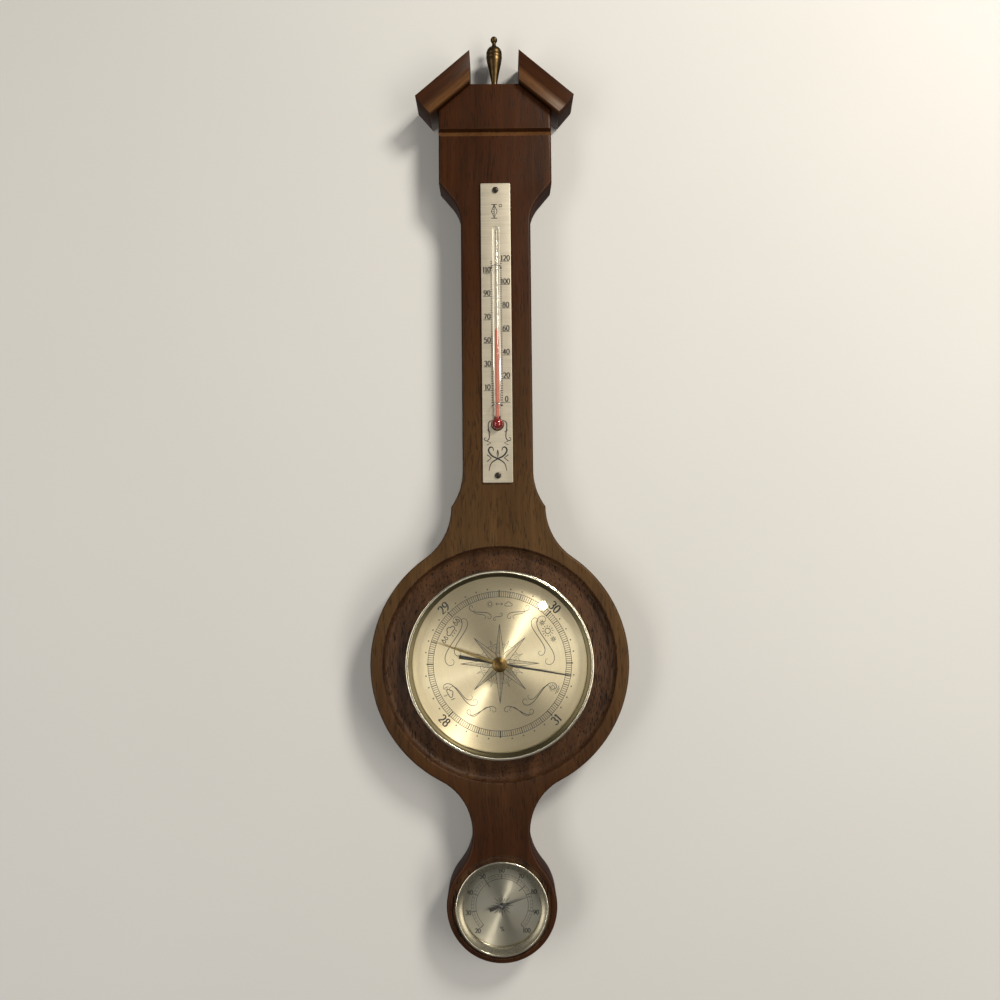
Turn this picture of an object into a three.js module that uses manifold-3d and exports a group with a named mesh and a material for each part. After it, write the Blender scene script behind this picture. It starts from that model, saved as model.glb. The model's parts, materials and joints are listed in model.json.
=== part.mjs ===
// A banjo shaped wall weather station: a pedimented wooden board that carries a spirit
// thermometer, an aneroid barometer and a small hygrometer.
// Millimetres. +X is right, +Z is up, the wall is the plane y = 0 and the front faces -Y.
// The origin lies on the back of the board, on the centre line just under the hanger.
import * as THREE from "three";
import { mergeVertices } from "three/addons/utils/BufferGeometryUtils.js";
import Module from "manifold-3d";

const wasm = await Module();
wasm.setup();

// Running gaps
const GAP = 0.3;

// Board
const BOARD_T = 22;
const EDGE = 1.8;
const HEAD_TOP = 75;
const TOP_HALF = 17;
const HEAD_HALF = 39;
const PITCH = 40.5;
const NECK_HALF = 24;
const UPPER_COVE_R = 28;
const UPPER_COVE_TURN = 40;
const UPPER_COVE_FOOT = -23.5;
const LOWER_COVE_R = 42;
const LOWER_COVE_TURN = 36;
const FLARE_R = 42;
const LOBE_R = 87;
const LOBE_Z = -325;
const WAIST_R = 38;
const SMALL_LOBE_WALL = 3.6;
const LOBE_SPACING = 159;
const GROOVE_Z = 41.3;
const GROOVE_DEPTH = 2.5;
const GROOVE_ABOVE = 1.4;
const GROOVE_BELOW = 3.9;

// Recesses in the face
const RECESS_R = 78.5;
const RECESS_COVE = 5;
const SMALL_RECESS_MARGIN = 2.4;
const LAND_DEPTH = 1;
const LAND_MARGIN = 1.5;

// Pediment mouldings
const MOULD_H = 16;
const MOULD_PROUD = 4.5;
const MOULD_HOLLOW = 1.7;
const MOULD_OVERHANG = 5.2;

// Finial
const FINIAL_H = 39.3;
const FINIAL_R = 5.6;
const FINIAL_BALL_R = 2.4;
const SPIGOT_R = 2;
const SPIGOT_L = 10;

// Thermometer
const PLATE_TOP = 3.3;
const PLATE_L = 206.5;
const PLATE_W = 20.3;
const PLATE_T = 1;
const PLATE_SCREW_INSET = 4.8;
const PLATE_SCREW_R = 1;
const PLATE_SCREW_L = 11;
const PLATE_SCREW_POINT = 2;
const PLATE_HEAD_R = 2.1;
const PLATE_HEAD_H = 1.2;
const TUBE_R = 2.5;
const BULB_R = 3.8;
const TUBE_BORE_R = 0.75;
const GLASS_WALL = 0.8;
const TUBE_TOP_DROP = 31;
const BULB_DROP = 167;
const SPIRIT_DROP = 102.4;
const CLIP_BELOW_TOP = 28;
const CLIP_ABOVE_BULB = 13.2;
const CLIP_T = 0.8;

// Barometer: the case sets the size, and dial, glass and bezel follow it
const BARO = {
  bodyR: 55.5,
  ledgeW: 4.1,
  coneW: 2.6,
  rimW: 2,
  coneDrop: 1.8,
  backY: -1.6,
  glassT: 1.8,
  spacerH: 2.4,
  ribs: 20,
  sides: 36,
};

// Hygrometer
const HYGRO = {
  bodyR: 24.4,
  ledgeW: 2.4,
  coneW: 3.7,
  rimW: 1.3,
  coneDrop: 2,
  backY: -8,
  glassT: 1.5,
  spacerH: 2,
  ribs: 12,
  sides: 28,
};
const DIAL_SINK = 3.4;
const DIAL_T = 0.8;
const CASE_WALL = 0.8;
const SPACER_W = 1;
const SPACER_SHOW = 0.2;
const GRIP_W = 1.5;
const GRIP_H = 7;
const GRIP_SETBACK = 1;
const RIM_T = 0.5;
const RIM_ROUND = 1.4;
const SKIRT_W = 1.5;
const DIAL_HOLE_W = 1.2;
const VENT_R = 2;
const VENTS = 6;

// Hands: lengths from the centre, and the angles at rest, counted from +X towards +Z
const HAND_T = 0.5;
const PRESSURE_TIP = 50;
const PRESSURE_TAIL = 27.7;
const PRESSURE_ANGLE = -10;
const SET_TIP = 48.6;
const SET_TAIL = 9;
const SET_ANGLE = 161;
const HUMID_TIP = 21;
const HUMID_TAIL = 8.6;
const HUMID_ANGLE = 19.2;
const HAND_POINT = 6;
const HUB_R = 2.8;
const KNOB_R = 4.9;
const KNOB_H = 4.2;
const STEM_R = 1.1;
const BUSH_WALL = 0.7;
const BUSH_FLANGE_T = 0.4;
const BUSH_FLANGE_W = 1.4;
const ARBOR_R = 0.8;
const ARBOR_END = 0.2;
const COLLET_W = 0.6;

// Aneroid movement
const MODULE = 0.4;
const PINION_TEETH = 10;
const SECTOR_TEETH = 120;
const SECTOR_FIRST = -2;
const SECTOR_LAST = 8;
const SECTOR_BEARING = -60;
const BACKLASH = 0.14;
const ADDENDUM = 0.75;
const DEDENDUM = 1.15;
const TOOTH_PRESSURE = 20;
const PLATE_GAUGE = 0.8;
const BASE_T = 1.5;
const BASE_MARGIN = 8;
const CAPSULE_R = 19;
const CAPSULE_T = 3;
const CAPSULE_RIM_W = 2;
const CAPSULE_BOSS_R = 3.2;
const CAPSULE_BOSS_H = 0.4;
const CAPSULE_WAVE = 0.35;
const CAPSULE_WAVES = 3;
const POST_R = 1.4;
const POST_HEAD_W = 1;
const POST_HEAD_T = 0.6;
const SPRING_T = 0.7;
const SPRING_W = 12;
const SPRING_REACH = 9;
const SPRING_GRIP = 3.3;
const BRACKET_L = 6;
const BRACKET_FOOT = 4;
const BRACKET_T = 1;
const LEVER_T = 0.6;
const LEVER_EYE_R = 3;
const LEVER_TIP_R = 1.2;
const GEAR_T = 1;
const SECTOR_HUB_W = 2;
const SECTOR_RIM_W = 2;
const SECTOR_WINDOW_W = 2.5;
const SECTOR_PIN_WALL = 0.5;
const CONTACT_DEPTH = 1.1;
const CRANK_R = 2.5;
const CRANK_SPACING = 5;
const CRANK_HALF_W = 0.6;
const CRANK_PIN_HALF = 1.5;
const PIN_R = 0.6;
const PIVOT_R = 1;
const LINKAGE_TILT = 8.33;
const BALL_R = 0.65;
const FINGER_R = 0.45;
const SHAFT_R = 0.9;
const SHAFT_OVERHANG = 1.4;
const BEARING_SPACING = 4;
const BEARING_HALF_T = 1;
const BEARING_HALF_W = 2.2;
const BEARING_CROWN = 1.2;
const HAIRSPRING_H = 0.5;
const STUD_R = 0.6;
const PILLAR_R = 2.2;
const PILLAR_BOSS_W = 1.8;
const PIVOT_BOSS_W = 1.6;
const PILLAR_RING = 29;
const PILLAR_ANGLES = [135, 34, 246];
const HAIRSPRING_R = 6.2;
const HAIRSPRING_TURNS = 4;
const HAIRSPRING_W = 0.3;
const ADJUSTER_R = 2.2;
const ADJUSTER_SHANK_R = 1.5;
const ADJUSTER_OFFSET = 2;
const MOVEMENT_HEAD_R = 2.6;
const SCREW_R = 1.2;
const SCREW_INSET = 4;
const SCREW_HEAD_T = 0.9;
const SLOT_DEPTH = 0.4;
const SLOT_HALF_W = 0.3;
const MOVEMENT_SCREW_ANGLES = [70, 210, -70];

// Hygrometer works
const COIL_R = 9;
const COIL_TURNS = 3;
const COIL_H = 4;
const COIL_W = 0.5;
const STRAP_W = 6;
const STRAP_T = 0.6;
const STRAP_ROOM = 3;
const STRAP_TOE = 5;

// Hanger
const HANGER_Z = 30;
const HANGER_W = 18;
const HANGER_L = 44;
const HANGER_T = 1.6;
const KEYHOLE_R = 4.8;
const KEY_SLOT_R = 2.5;
const KEY_SLOT_L = 9;
const HANGER_ROUND = 4;
const HANGER_SCREW_R = 1.3;
const HANGER_SCREW_L = 9;
const HANGER_SCREW_POINT = 2;
const HANGER_SCREW_INSET = 4.5;
const NAIL_DROP = 8;
const NAIL_ROOM = 8;
const NAIL_MARGIN = 1;

const radians = THREE.MathUtils.degToRad;
const FACE = -BOARD_T;
const LAND = FACE + LAND_DEPTH;
const HYGRO_Z = LOBE_Z - LOBE_SPACING;

// Materials

function material(color, roughness, metalness) {
  return new THREE.MeshStandardMaterial({ color, roughness, metalness });
}

const wood = material(0x4a3020, 0.45, 0);
const agedBrass = material(0x6b5428, 0.35, 1);
const paleBrass = material(0xc9b98c, 0.3, 1);
const brass = material(0xb08d45, 0.35, 1);
const steel = material(0x9a9a98, 0.35, 1);
const blackened = material(0x14120f, 0.45, 0.4);
const glass = material(0xdfe6e4, 0.05, 0);
const spirit = material(0x7a1410, 0.2, 0);
const rubber = material(0x2a2826, 0.8, 0);
const tinplate = material(0x8f8d84, 0.4, 1);

// Geometry helpers

function solidOf(geometry) {
  const bare = geometry.index ? geometry.toNonIndexed() : geometry.clone();
  bare.deleteAttribute("normal");
  bare.deleteAttribute("uv");
  const merged = mergeVertices(bare, 1e-4);
  return new wasm.Manifold(
    new wasm.Mesh({
      numProp: 3,
      vertProperties: merged.attributes.position.array,
      triVerts: new Uint32Array(merged.index.array),
    }),
  );
}

function geometryOf(solid) {
  const mesh = solid.getMesh();
  const geometry = new THREE.BufferGeometry();
  geometry.setAttribute("position", new THREE.BufferAttribute(mesh.vertProperties, 3));
  geometry.setIndex(new THREE.BufferAttribute(mesh.triVerts, 1));
  geometry.computeVertexNormals();
  return geometry;
}

function cut(geometry, ...tools) {
  return geometryOf(tools.reduce((rest, tool) => rest.subtract(solidOf(tool)), solidOf(geometry)));
}

function join(geometry, ...others) {
  return geometryOf(others.reduce((sum, other) => sum.add(solidOf(other)), solidOf(geometry)));
}

function arc(x, z, radius, from, to, step = 12) {
  const steps = Math.max(2, Math.ceil(Math.abs(to - from) / step));
  return Array.from({ length: steps + 1 }, (_, i) => {
    const angle = radians(from + ((to - from) * i) / steps);
    return new THREE.Vector2(x + radius * Math.cos(angle), z + radius * Math.sin(angle));
  });
}

function shapeOf(points, holes = []) {
  const shape = new THREE.Shape(points);
  shape.holes = holes.map((hole) => new THREE.Path(hole));
  return shape;
}

// A flat piece: an outline in X and Z, thick from yBack to yFront.
function sheet(shape, yBack, yFront) {
  return new THREE.ExtrudeGeometry(shape, { depth: yBack - yFront, bevelEnabled: false })
    .rotateX(Math.PI / 2)
    .translate(0, yBack, 0);
}

// A flat piece with holes through it.
function punched(outline, holes, yBack, yFront) {
  const tools = holes.map((hole) => sheet(new THREE.Shape(hole), yBack + 1, yFront - 1));
  return cut(sheet(new THREE.Shape(outline), yBack, yFront), ...tools);
}

// A strip bent or cut to an outline in X and Y, with its width along Z.
function standing(outline, width) {
  const settings = { depth: width, bevelEnabled: false };
  return new THREE.ExtrudeGeometry(new THREE.Shape(outline), settings).translate(0, 0, -width / 2);
}

// A round hole in a flat piece
function roundHole(x, z, radius) {
  return arc(x, z, radius, 0, 330, 30);
}

// A bar with its section in Y and Z, from x0 to x1.
function bar(shape, x0, x1) {
  const turn = new THREE.Matrix4().set(0, 0, 1, x0, 1, 0, 0, 0, 0, 1, 0, 0, 0, 0, 0, 1);
  const settings = { depth: x1 - x0, bevelEnabled: false };
  return new THREE.ExtrudeGeometry(shape, settings).applyMatrix4(turn);
}

// A turned piece about a line along Y. The profile is a list of [radius, y].
function turned(profile, sides, x = 0, z = 0) {
  const points = profile.map(([r, y]) => new THREE.Vector2(r, y));
  const onAxis = points[0].x === 0 && points.at(-1).x === 0;
  if (THREE.ShapeUtils.area(points) < 0) points.reverse();
  if (!onAxis) points.push(points[0].clone());
  return new THREE.LatheGeometry(points, sides).translate(x, 0, z);
}

// The same about a line along Z. The profile is a list of [radius, z].
function turnedUpright(profile, sides, y) {
  return turned(profile, sides).rotateX(Math.PI / 2).translate(0, y, 0);
}

function rod(radius, yBack, yFront, sides, x = 0, z = 0) {
  return turned([[0, yBack], [radius, yBack], [radius, yFront], [0, yFront]], sides, x, z);
}

function tube(outer, inner, yBack, yFront, sides, x = 0, z = 0) {
  const profile = [[inner, yBack], [outer, yBack], [outer, yFront], [inner, yFront]];
  return turned(profile, sides, x, z);
}

function box(x0, x1, y0, y1, z0, z1) {
  return new THREE.BoxGeometry(x1 - x0, y1 - y0, z1 - z0).translate(
    (x0 + x1) / 2,
    (y0 + y1) / 2,
    (z0 + z1) / 2,
  );
}

function polar(radius, degrees) {
  return [radius * Math.cos(radians(degrees)), radius * Math.sin(radians(degrees))];
}

// Turns a flat piece that points along +X to an angle as the viewer sees it.
function aimed(geometry, degrees) {
  return geometry.rotateY(-radians(degrees));
}

// The band outline that wraps a ring of circles [x, z, r], listed counter-clockwise.
function wrapped(circles, step = 20) {
  const count = circles.length;
  const tangents = circles.map(([x, z, r], i) => {
    const [nx, nz, nr] = circles[(i + 1) % count];
    const along = Math.atan2(nz - z, nx - x);
    const lean = Math.acos((r - nr) / Math.hypot(nx - x, nz - z));
    return THREE.MathUtils.radToDeg(along - lean);
  });
  return circles.flatMap(([x, z, r], i) => {
    const from = tangents[(i + count - 1) % count];
    const turn = (((tangents[i] - from) % 360) + 360) % 360;
    return arc(x, z, r, from, from + turn, step);
  });
}

// A flat spiral strip from an inner to an outer radius.
function spiral(inner, outer, turns, width, yBack, yFront) {
  const steps = Math.round(turns * 12);
  const edge = (offset) =>
    Array.from({ length: steps + 1 }, (_, i) => {
      const radius = inner + ((outer - inner) * i) / steps + offset;
      return new THREE.Vector2(...polar(radius, (360 * turns * i) / steps));
    });
  const outline = [...edge(width / 2), ...edge(-width / 2).reverse()];
  return sheet(new THREE.Shape(outline), yBack, yFront);
}

function part(group, name, geometry, finish) {
  const mesh = new THREE.Mesh(geometry, finish);
  mesh.name = name;
  group.add(mesh);
}

// Levels and radii shared by the pieces of one instrument
function levelsOf(unit) {
  const dialFront = FACE + DIAL_SINK;
  const dialBack = dialFront + DIAL_T;
  const ledgeFront = dialBack + GAP;
  const spacerBack = dialFront - GAP;
  const spacerFront = spacerBack - unit.spacerH;
  const glassBack = spacerFront - GAP;
  const glassFront = glassBack - unit.glassT;
  const lipBack = glassFront - GAP;
  const dialR = unit.bodyR + unit.ledgeW;
  const panR = dialR + GAP;
  const sightR = dialR - SPACER_W - SPACER_SHOW;
  const bezelR = sightR + unit.coneW + unit.rimW;
  return {
    dialFront,
    dialBack,
    ledgeFront,
    ledgeBack: ledgeFront + CASE_WALL,
    spacerBack,
    spacerFront,
    glassBack,
    glassFront,
    lipBack,
    lipFront: lipBack - RIM_T,
    front: lipBack - RIM_T - unit.coneDrop,
    flangeBack: LAND - GAP,
    flangeFront: LAND - GAP - CASE_WALL,
    floorFront: unit.backY - CASE_WALL,
    dialR,
    sightR,
    bezelR,
    panR,
    panOuter: panR + CASE_WALL,
    flangeR: bezelR - RIM_T - GAP,
    counterR: panR + CASE_WALL + 2 * GAP,
    boreR: unit.bodyR + GRIP_W + 2 * GAP,
    landR: bezelR + LAND_MARGIN,
  };
}

const baro = levelsOf(BARO);
const hygro = levelsOf(HYGRO);
const smallRecessR = hygro.bezelR + SMALL_RECESS_MARGIN;
const smallLobeR = smallRecessR + SMALL_LOBE_WALL;

// Levels of the hands, the back face of each
const setBack = baro.glassBack + GAP + 0.1 + HAND_T;
const pressureBack = setBack + 2 * GAP + HAND_T;
const humidBack = hygro.dialFront - 4 * GAP;

// Levels of the movement, from the case floor up to the dial
const baseBack = baro.floorFront - GAP;
const baseFront = baseBack - BASE_T;
const capsuleBack = baseFront - GAP;
const capsuleFront = capsuleBack - CAPSULE_T;
const springBack = capsuleFront - 2 * GAP;
const springFront = springBack - SPRING_T;
const leverBack = springFront - GAP;
const leverFront = leverBack - LEVER_T;
const rockerY = leverBack + GAP + PIN_R;
const bridgeFront = baro.dialBack + 2 * GAP;
const bridgeBack = bridgeFront + PLATE_GAUGE;
const hairspringFront = bridgeBack + GAP;
const hairspringBack = hairspringFront + HAIRSPRING_H;
const pinionFront = hairspringBack + GAP + 0.1;
const sectorFront = pinionFront + GAP;
const sectorBack = sectorFront + GEAR_T;
const pinionBack = sectorBack + GAP;
const gearPlateFront = pinionBack + 2 * GAP;
const gearPlateBack = gearPlateFront + PLATE_GAUGE;

// The rocker's ball meets the sector's pin at this level, and both swing on the same radius
const contactY = sectorBack + CONTACT_DEPTH;
const tailR = rockerY - contactY;

// Places in the movement, from the hand arbor
const gearCentres = (MODULE * (SECTOR_TEETH + PINION_TEETH)) / 2;
const [pivotX, pivotZ] = polar(gearCentres, SECTOR_BEARING);
const ballX = pivotX + tailR;
const crankX = ballX - CRANK_SPACING;
const rockerZ = pivotZ - PIN_R - GAP - BALL_R;
const bearingXs = [crankX - BEARING_SPACING, ballX + BEARING_SPACING];
const rootX = -CAPSULE_R - SPRING_REACH;
const adjusterX = rootX - ADJUSTER_OFFSET;
const baseR = PILLAR_RING + BASE_MARGIN;
const keyholeZ = HANGER_Z - NAIL_DROP;

// Backboard: half an outline of straight lines, coves and the two lobes, then mirrored
function boardSide() {
  const slopeFoot = HEAD_TOP - (HEAD_HALF - TOP_HALF) * Math.tan(radians(PITCH));
  const coveX = NECK_HALF + UPPER_COVE_R;
  const upperCove = arc(coveX, UPPER_COVE_FOOT, UPPER_COVE_R, 180 - UPPER_COVE_TURN, 180);
  const cornerRun = HEAD_HALF - upperCove[0].x;
  const cornerZ = upperCove[0].y + cornerRun / Math.tan(radians(UPPER_COVE_TURN));

  const shoulder = NECK_HALF + LOWER_COVE_R * (1 - Math.cos(radians(LOWER_COVE_TURN)));
  const flareX = shoulder + FLARE_R;
  const flareRise = Math.sqrt((LOBE_R + FLARE_R) ** 2 - flareX ** 2);
  const flareZ = LOBE_Z + flareRise;
  const flareTurn = THREE.MathUtils.radToDeg(Math.atan2(flareRise, flareX));
  const lowerCoveZ = flareZ + LOWER_COVE_R * Math.sin(radians(LOWER_COVE_TURN));

  const toLobe = LOBE_R + WAIST_R;
  const toSmall = smallLobeR + WAIST_R;
  const drop = (toLobe ** 2 - toSmall ** 2 + LOBE_SPACING ** 2) / (2 * LOBE_SPACING);
  const waistX = Math.sqrt(toLobe ** 2 - drop ** 2);
  const waistTurn = THREE.MathUtils.radToDeg(Math.atan2(drop, waistX));
  const smallTurn = THREE.MathUtils.radToDeg(Math.atan2(LOBE_SPACING - drop, waistX));

  return [
    new THREE.Vector2(TOP_HALF, HEAD_TOP),
    new THREE.Vector2(HEAD_HALF, slopeFoot),
    new THREE.Vector2(HEAD_HALF, cornerZ),
    ...upperCove,
    ...arc(NECK_HALF + LOWER_COVE_R, lowerCoveZ, LOWER_COVE_R, 180, 180 + LOWER_COVE_TURN),
    ...arc(flareX, flareZ, FLARE_R, 180, 180 + flareTurn).slice(1, -1),
    ...arc(0, LOBE_Z, LOBE_R, flareTurn, -waistTurn, 6),
    ...arc(waistX, LOBE_Z - drop, WAIST_R, 180 - waistTurn, 180 + smallTurn).slice(1, -1),
    ...arc(0, HYGRO_Z, smallLobeR, smallTurn, -90),
  ];
}

function backboard() {
  const right = boardSide();
  const left = right.map((p) => new THREE.Vector2(-p.x, p.y)).reverse();
  const outline = new THREE.Shape([...right, ...left.slice(1)]);
  const board = new THREE.ExtrudeGeometry(outline, {
    depth: BOARD_T,
    bevelThickness: EDGE,
    bevelSize: EDGE,
    bevelOffset: -EDGE,
    bevelSegments: 1,
  });
  board.rotateX(Math.PI / 2).translate(0, EDGE, 0);
  const far = 2 * LOBE_R;
  const behind = box(-far, far, 0, BOARD_T, HYGRO_Z - far, HEAD_TOP + far);
  return cut(
    board,
    behind,
    ...boardRecesses(),
    ...boardFixings(),
    groove(),
  );
}

function groove() {
  const outside = FACE - 1;
  const section = [
    new THREE.Vector2(FACE + GROOVE_DEPTH, GROOVE_Z),
    new THREE.Vector2(FACE, GROOVE_Z + GROOVE_ABOVE),
    new THREE.Vector2(outside, GROOVE_Z + GROOVE_ABOVE),
    new THREE.Vector2(outside, GROOVE_Z - GROOVE_BELOW),
    new THREE.Vector2(FACE, GROOVE_Z - GROOVE_BELOW),
  ];
  return bar(new THREE.Shape(section), -2 * HEAD_HALF, 2 * HEAD_HALF);
}

function boardRecesses() {
  const outside = FACE - 1;
  const behind = 1;
  const bore = (levels) => [
    [0, behind],
    [levels.boreR, behind],
    [levels.boreR, levels.ledgeBack + 2 * GAP],
    [levels.counterR, levels.ledgeBack + 2 * GAP],
    [levels.counterR, LAND],
  ];
  const cove = arc(RECESS_R - RECESS_COVE, FACE, RECESS_COVE, 90, 0, 30);
  const large = [
    ...bore(baro),
    [baro.landR, LAND],
    ...cove.map((p) => [p.x, p.y]),
    [RECESS_R, outside],
    [0, outside],
  ];
  const small = [
    ...bore(hygro),
    [smallRecessR, LAND],
    [smallRecessR, outside],
    [0, outside],
  ];
  return [turned(large, BARO.sides, 0, LOBE_Z), turned(small, HYGRO.sides, 0, HYGRO_Z)];
}

const plateScrewZs = [PLATE_TOP - PLATE_SCREW_INSET, PLATE_TOP - PLATE_L + PLATE_SCREW_INSET];
const hangerScrewZs = [1, -1].map(
  (side) => HANGER_Z + side * (HANGER_L / 2 - HANGER_SCREW_INSET),
);

function boardFixings() {
  const screwHoles = plateScrewZs.map((z) =>
    rod(PLATE_SCREW_R + GAP, FACE + PLATE_SCREW_L + 1, FACE - 1, 16, 0, z),
  );
  const spigotHole = new THREE.CylinderGeometry(
    SPIGOT_R + GAP,
    SPIGOT_R + GAP,
    SPIGOT_L + 2,
    16,
  )
    .rotateX(Math.PI / 2)
    .translate(0, FACE / 2, HEAD_TOP - SPIGOT_L / 2);
  const halfW = HANGER_W / 2 + GAP;
  const halfL = HANGER_L / 2 + GAP;
  const seat = -HANGER_T - 2 * GAP;
  const nailHalf = KEYHOLE_R + NAIL_MARGIN;
  return [
    ...screwHoles,
    spigotHole,
    box(-halfW, halfW, seat, 1, HANGER_Z - halfL, HANGER_Z + halfL),
    box(
      -nailHalf,
      nailHalf,
      seat - NAIL_ROOM,
      1,
      keyholeZ - nailHalf,
      keyholeZ + KEY_SLOT_L + KEY_SLOT_R + NAIL_MARGIN,
    ),
    ...hangerScrewZs.map((z) => rod(HANGER_SCREW_R + GAP, seat + 1, seat - HANGER_SCREW_L, 12, 0, z)),
  ];
}

// Pediment: a raked moulding with a hollow face sits on each slope of the board
function moulding(side) {
  const length = (HEAD_HALF + MOULD_OVERHANG - TOP_HALF) / Math.cos(radians(PITCH));
  const lead = MOULD_H * Math.tan(radians(PITCH)) + 1;
  const front = FACE - MOULD_PROUD;
  const middle = GAP + MOULD_H / 2;
  const section = [
    new THREE.Vector2(0, GAP),
    new THREE.Vector2(front, GAP),
    new THREE.Vector2(front + 0.5 * MOULD_HOLLOW, GAP + 0.2 * MOULD_H),
    new THREE.Vector2(front + 0.85 * MOULD_HOLLOW, GAP + 0.36 * MOULD_H),
    new THREE.Vector2(front + MOULD_HOLLOW, middle),
    new THREE.Vector2(front, GAP + MOULD_H),
    new THREE.Vector2(0, GAP + MOULD_H),
  ];
  const ends = side > 0 ? [-lead, length] : [-length, lead];
  const strip = bar(new THREE.Shape(section), ...ends)
    .rotateY(side * radians(PITCH))
    .translate(side * TOP_HALF, 0, HEAD_TOP);
  const plumbCut = box(-TOP_HALF, TOP_HALF, front - 1, 1, 0, HEAD_TOP + 3 * MOULD_H);
  return cut(strip, plumbCut);
}

// Finial: a brass urn with a ball, turned in one piece with its spigot
function finial() {
  const base = HEAD_TOP + GAP;
  const top = base + FINIAL_H;
  const ballZ = top - FINIAL_BALL_R;
  const ball = arc(0, ballZ, FINIAL_BALL_R, -60, 90, 30).map((p) => [Math.max(p.x, 0), p.y]);
  ball[ball.length - 1][0] = 0;
  const urn = (share, rise) => [share * FINIAL_R, base + rise * FINIAL_H];
  const profile = [
    [0, HEAD_TOP - SPIGOT_L],
    [SPIGOT_R, HEAD_TOP - SPIGOT_L],
    [SPIGOT_R, base],
    urn(0.62, 0),
    urn(0.62, 0.03),
    urn(0.34, 0.076),
    urn(0.39, 0.153),
    urn(0.62, 0.33),
    urn(0.86, 0.484),
    urn(1, 0.636),
    urn(0.97, 0.712),
    urn(0.78, 0.776),
    urn(0.4, 0.814),
    urn(0.265, 0.852),
    ...ball,
  ];
  return turnedUpright(profile, 16, FACE / 2);
}

// Thermometer: plate with a window behind the bulb, glass tube, spirit and two clips
const plateFront = FACE - GAP - PLATE_T;
const tubeY = plateFront - GAP - TUBE_R;
const tubeTop = PLATE_TOP - TUBE_TOP_DROP;
const bulbZ = PLATE_TOP - BULB_DROP;
const clipZs = [tubeTop - CLIP_BELOW_TOP, bulbZ + CLIP_ABOVE_BULB];

function thermometerPlate() {
  const half = PLATE_W / 2;
  const middle = PLATE_TOP - PLATE_L / 2;
  const outline = [
    new THREE.Vector2(-half, PLATE_TOP - PLATE_L),
    new THREE.Vector2(half, PLATE_TOP - PLATE_L),
    new THREE.Vector2(half, PLATE_TOP),
    new THREE.Vector2(-half, PLATE_TOP),
  ];
  const clipX = TUBE_R + GAP + CLIP_T / 2;
  const legRoom = CLIP_T / 2 + GAP;
  const legHole = (x, z) => arc(x, z, Math.SQRT2 * legRoom, 45, 315, 90);
  const holes = [
    arc(0, bulbZ, BULB_R + 2 * GAP, 0, 345, 15),
    ...plateScrewZs.map((z) => roundHole(0, z, PLATE_SCREW_R + GAP)),
    ...clipZs.flatMap((z) => [legHole(-clipX, z), legHole(clipX, z)]),
  ];
  return punched(outline, holes, FACE - GAP, plateFront);
}

function thermometerTube() {
  const inner = BULB_R - GLASS_WALL;
  const outerJoin = Math.acos(TUBE_R / BULB_R);
  const innerJoin = Math.acos(TUBE_BORE_R / inner);
  const degrees = THREE.MathUtils.radToDeg;
  const outside = arc(0, bulbZ, BULB_R, -90, degrees(outerJoin), 24);
  const inside = arc(0, bulbZ, inner, degrees(innerJoin), -90, 30);
  const profile = [
    ...outside.map((p) => [Math.max(p.x, 0), p.y]),
    [TUBE_R, tubeTop - 0.4 * TUBE_R],
    [0.68 * TUBE_R, tubeTop],
    [TUBE_BORE_R, tubeTop],
    ...inside.map((p) => [Math.max(p.x, 0), p.y]),
  ];
  profile[0][0] = 0;
  profile[profile.length - 1][0] = 0;
  return turnedUpright(profile, 12, tubeY);
}

function thermometerSpirit() {
  const ballR = BULB_R - GLASS_WALL - GAP;
  const columnR = TUBE_BORE_R - GAP;
  const join = THREE.MathUtils.radToDeg(Math.acos(columnR / ballR));
  const ball = arc(0, bulbZ, ballR, -90, join, 30).map((p) => [Math.max(p.x, 0), p.y]);
  ball[0][0] = 0;
  const top = PLATE_TOP - SPIRIT_DROP;
  return turnedUpright([...ball, [columnR, top], [0, top]], 12, tubeY);
}

function tubeClip(z) {
  const inner = TUBE_R + GAP;
  const outer = inner + CLIP_T;
  const over = arc(0, tubeY, outer, 0, -180, 22.5);
  const under = arc(0, tubeY, inner, -180, 0, 22.5);
  const foot = FACE - GAP;
  const outline = [
    new THREE.Vector2(outer, foot),
    ...over,
    new THREE.Vector2(-outer, foot),
    new THREE.Vector2(-inner, foot),
    ...under,
    new THREE.Vector2(inner, foot),
  ];
  return standing(outline, CLIP_T).translate(0, 0, z);
}

function plateScrew(z) {
  const head = plateFront - GAP;
  const profile = [
    [0, FACE + PLATE_SCREW_L],
    [PLATE_SCREW_R, FACE + PLATE_SCREW_L - PLATE_SCREW_POINT],
    [PLATE_SCREW_R, head],
    [PLATE_HEAD_R, head],
    [0.9 * PLATE_HEAD_R, head - 0.42 * PLATE_HEAD_H],
    [0.55 * PLATE_HEAD_R, head - 0.83 * PLATE_HEAD_H],
    [0, head - PLATE_HEAD_H],
  ];
  return turned(profile, 12, 0, z);
}

// One instrument's fixed pieces: case, grip ring, bezel, glass, spacer ring and dial
function instrumentCase(unit, levels, holes) {
  const profile = [
    [0, unit.backY],
    [unit.bodyR, unit.backY],
    [unit.bodyR, levels.ledgeBack],
    [levels.panOuter, levels.ledgeBack],
    [levels.panOuter, levels.flangeBack],
    [levels.flangeR, levels.flangeBack],
    [levels.flangeR, levels.flangeFront],
    [levels.panR, levels.flangeFront],
    [levels.panR, levels.ledgeFront],
    [unit.bodyR - CASE_WALL, levels.ledgeFront],
    [unit.bodyR - CASE_WALL, levels.floorFront],
    [0, levels.floorFront],
  ];
  return cut(turned(profile, unit.sides), ...holes);
}

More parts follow.
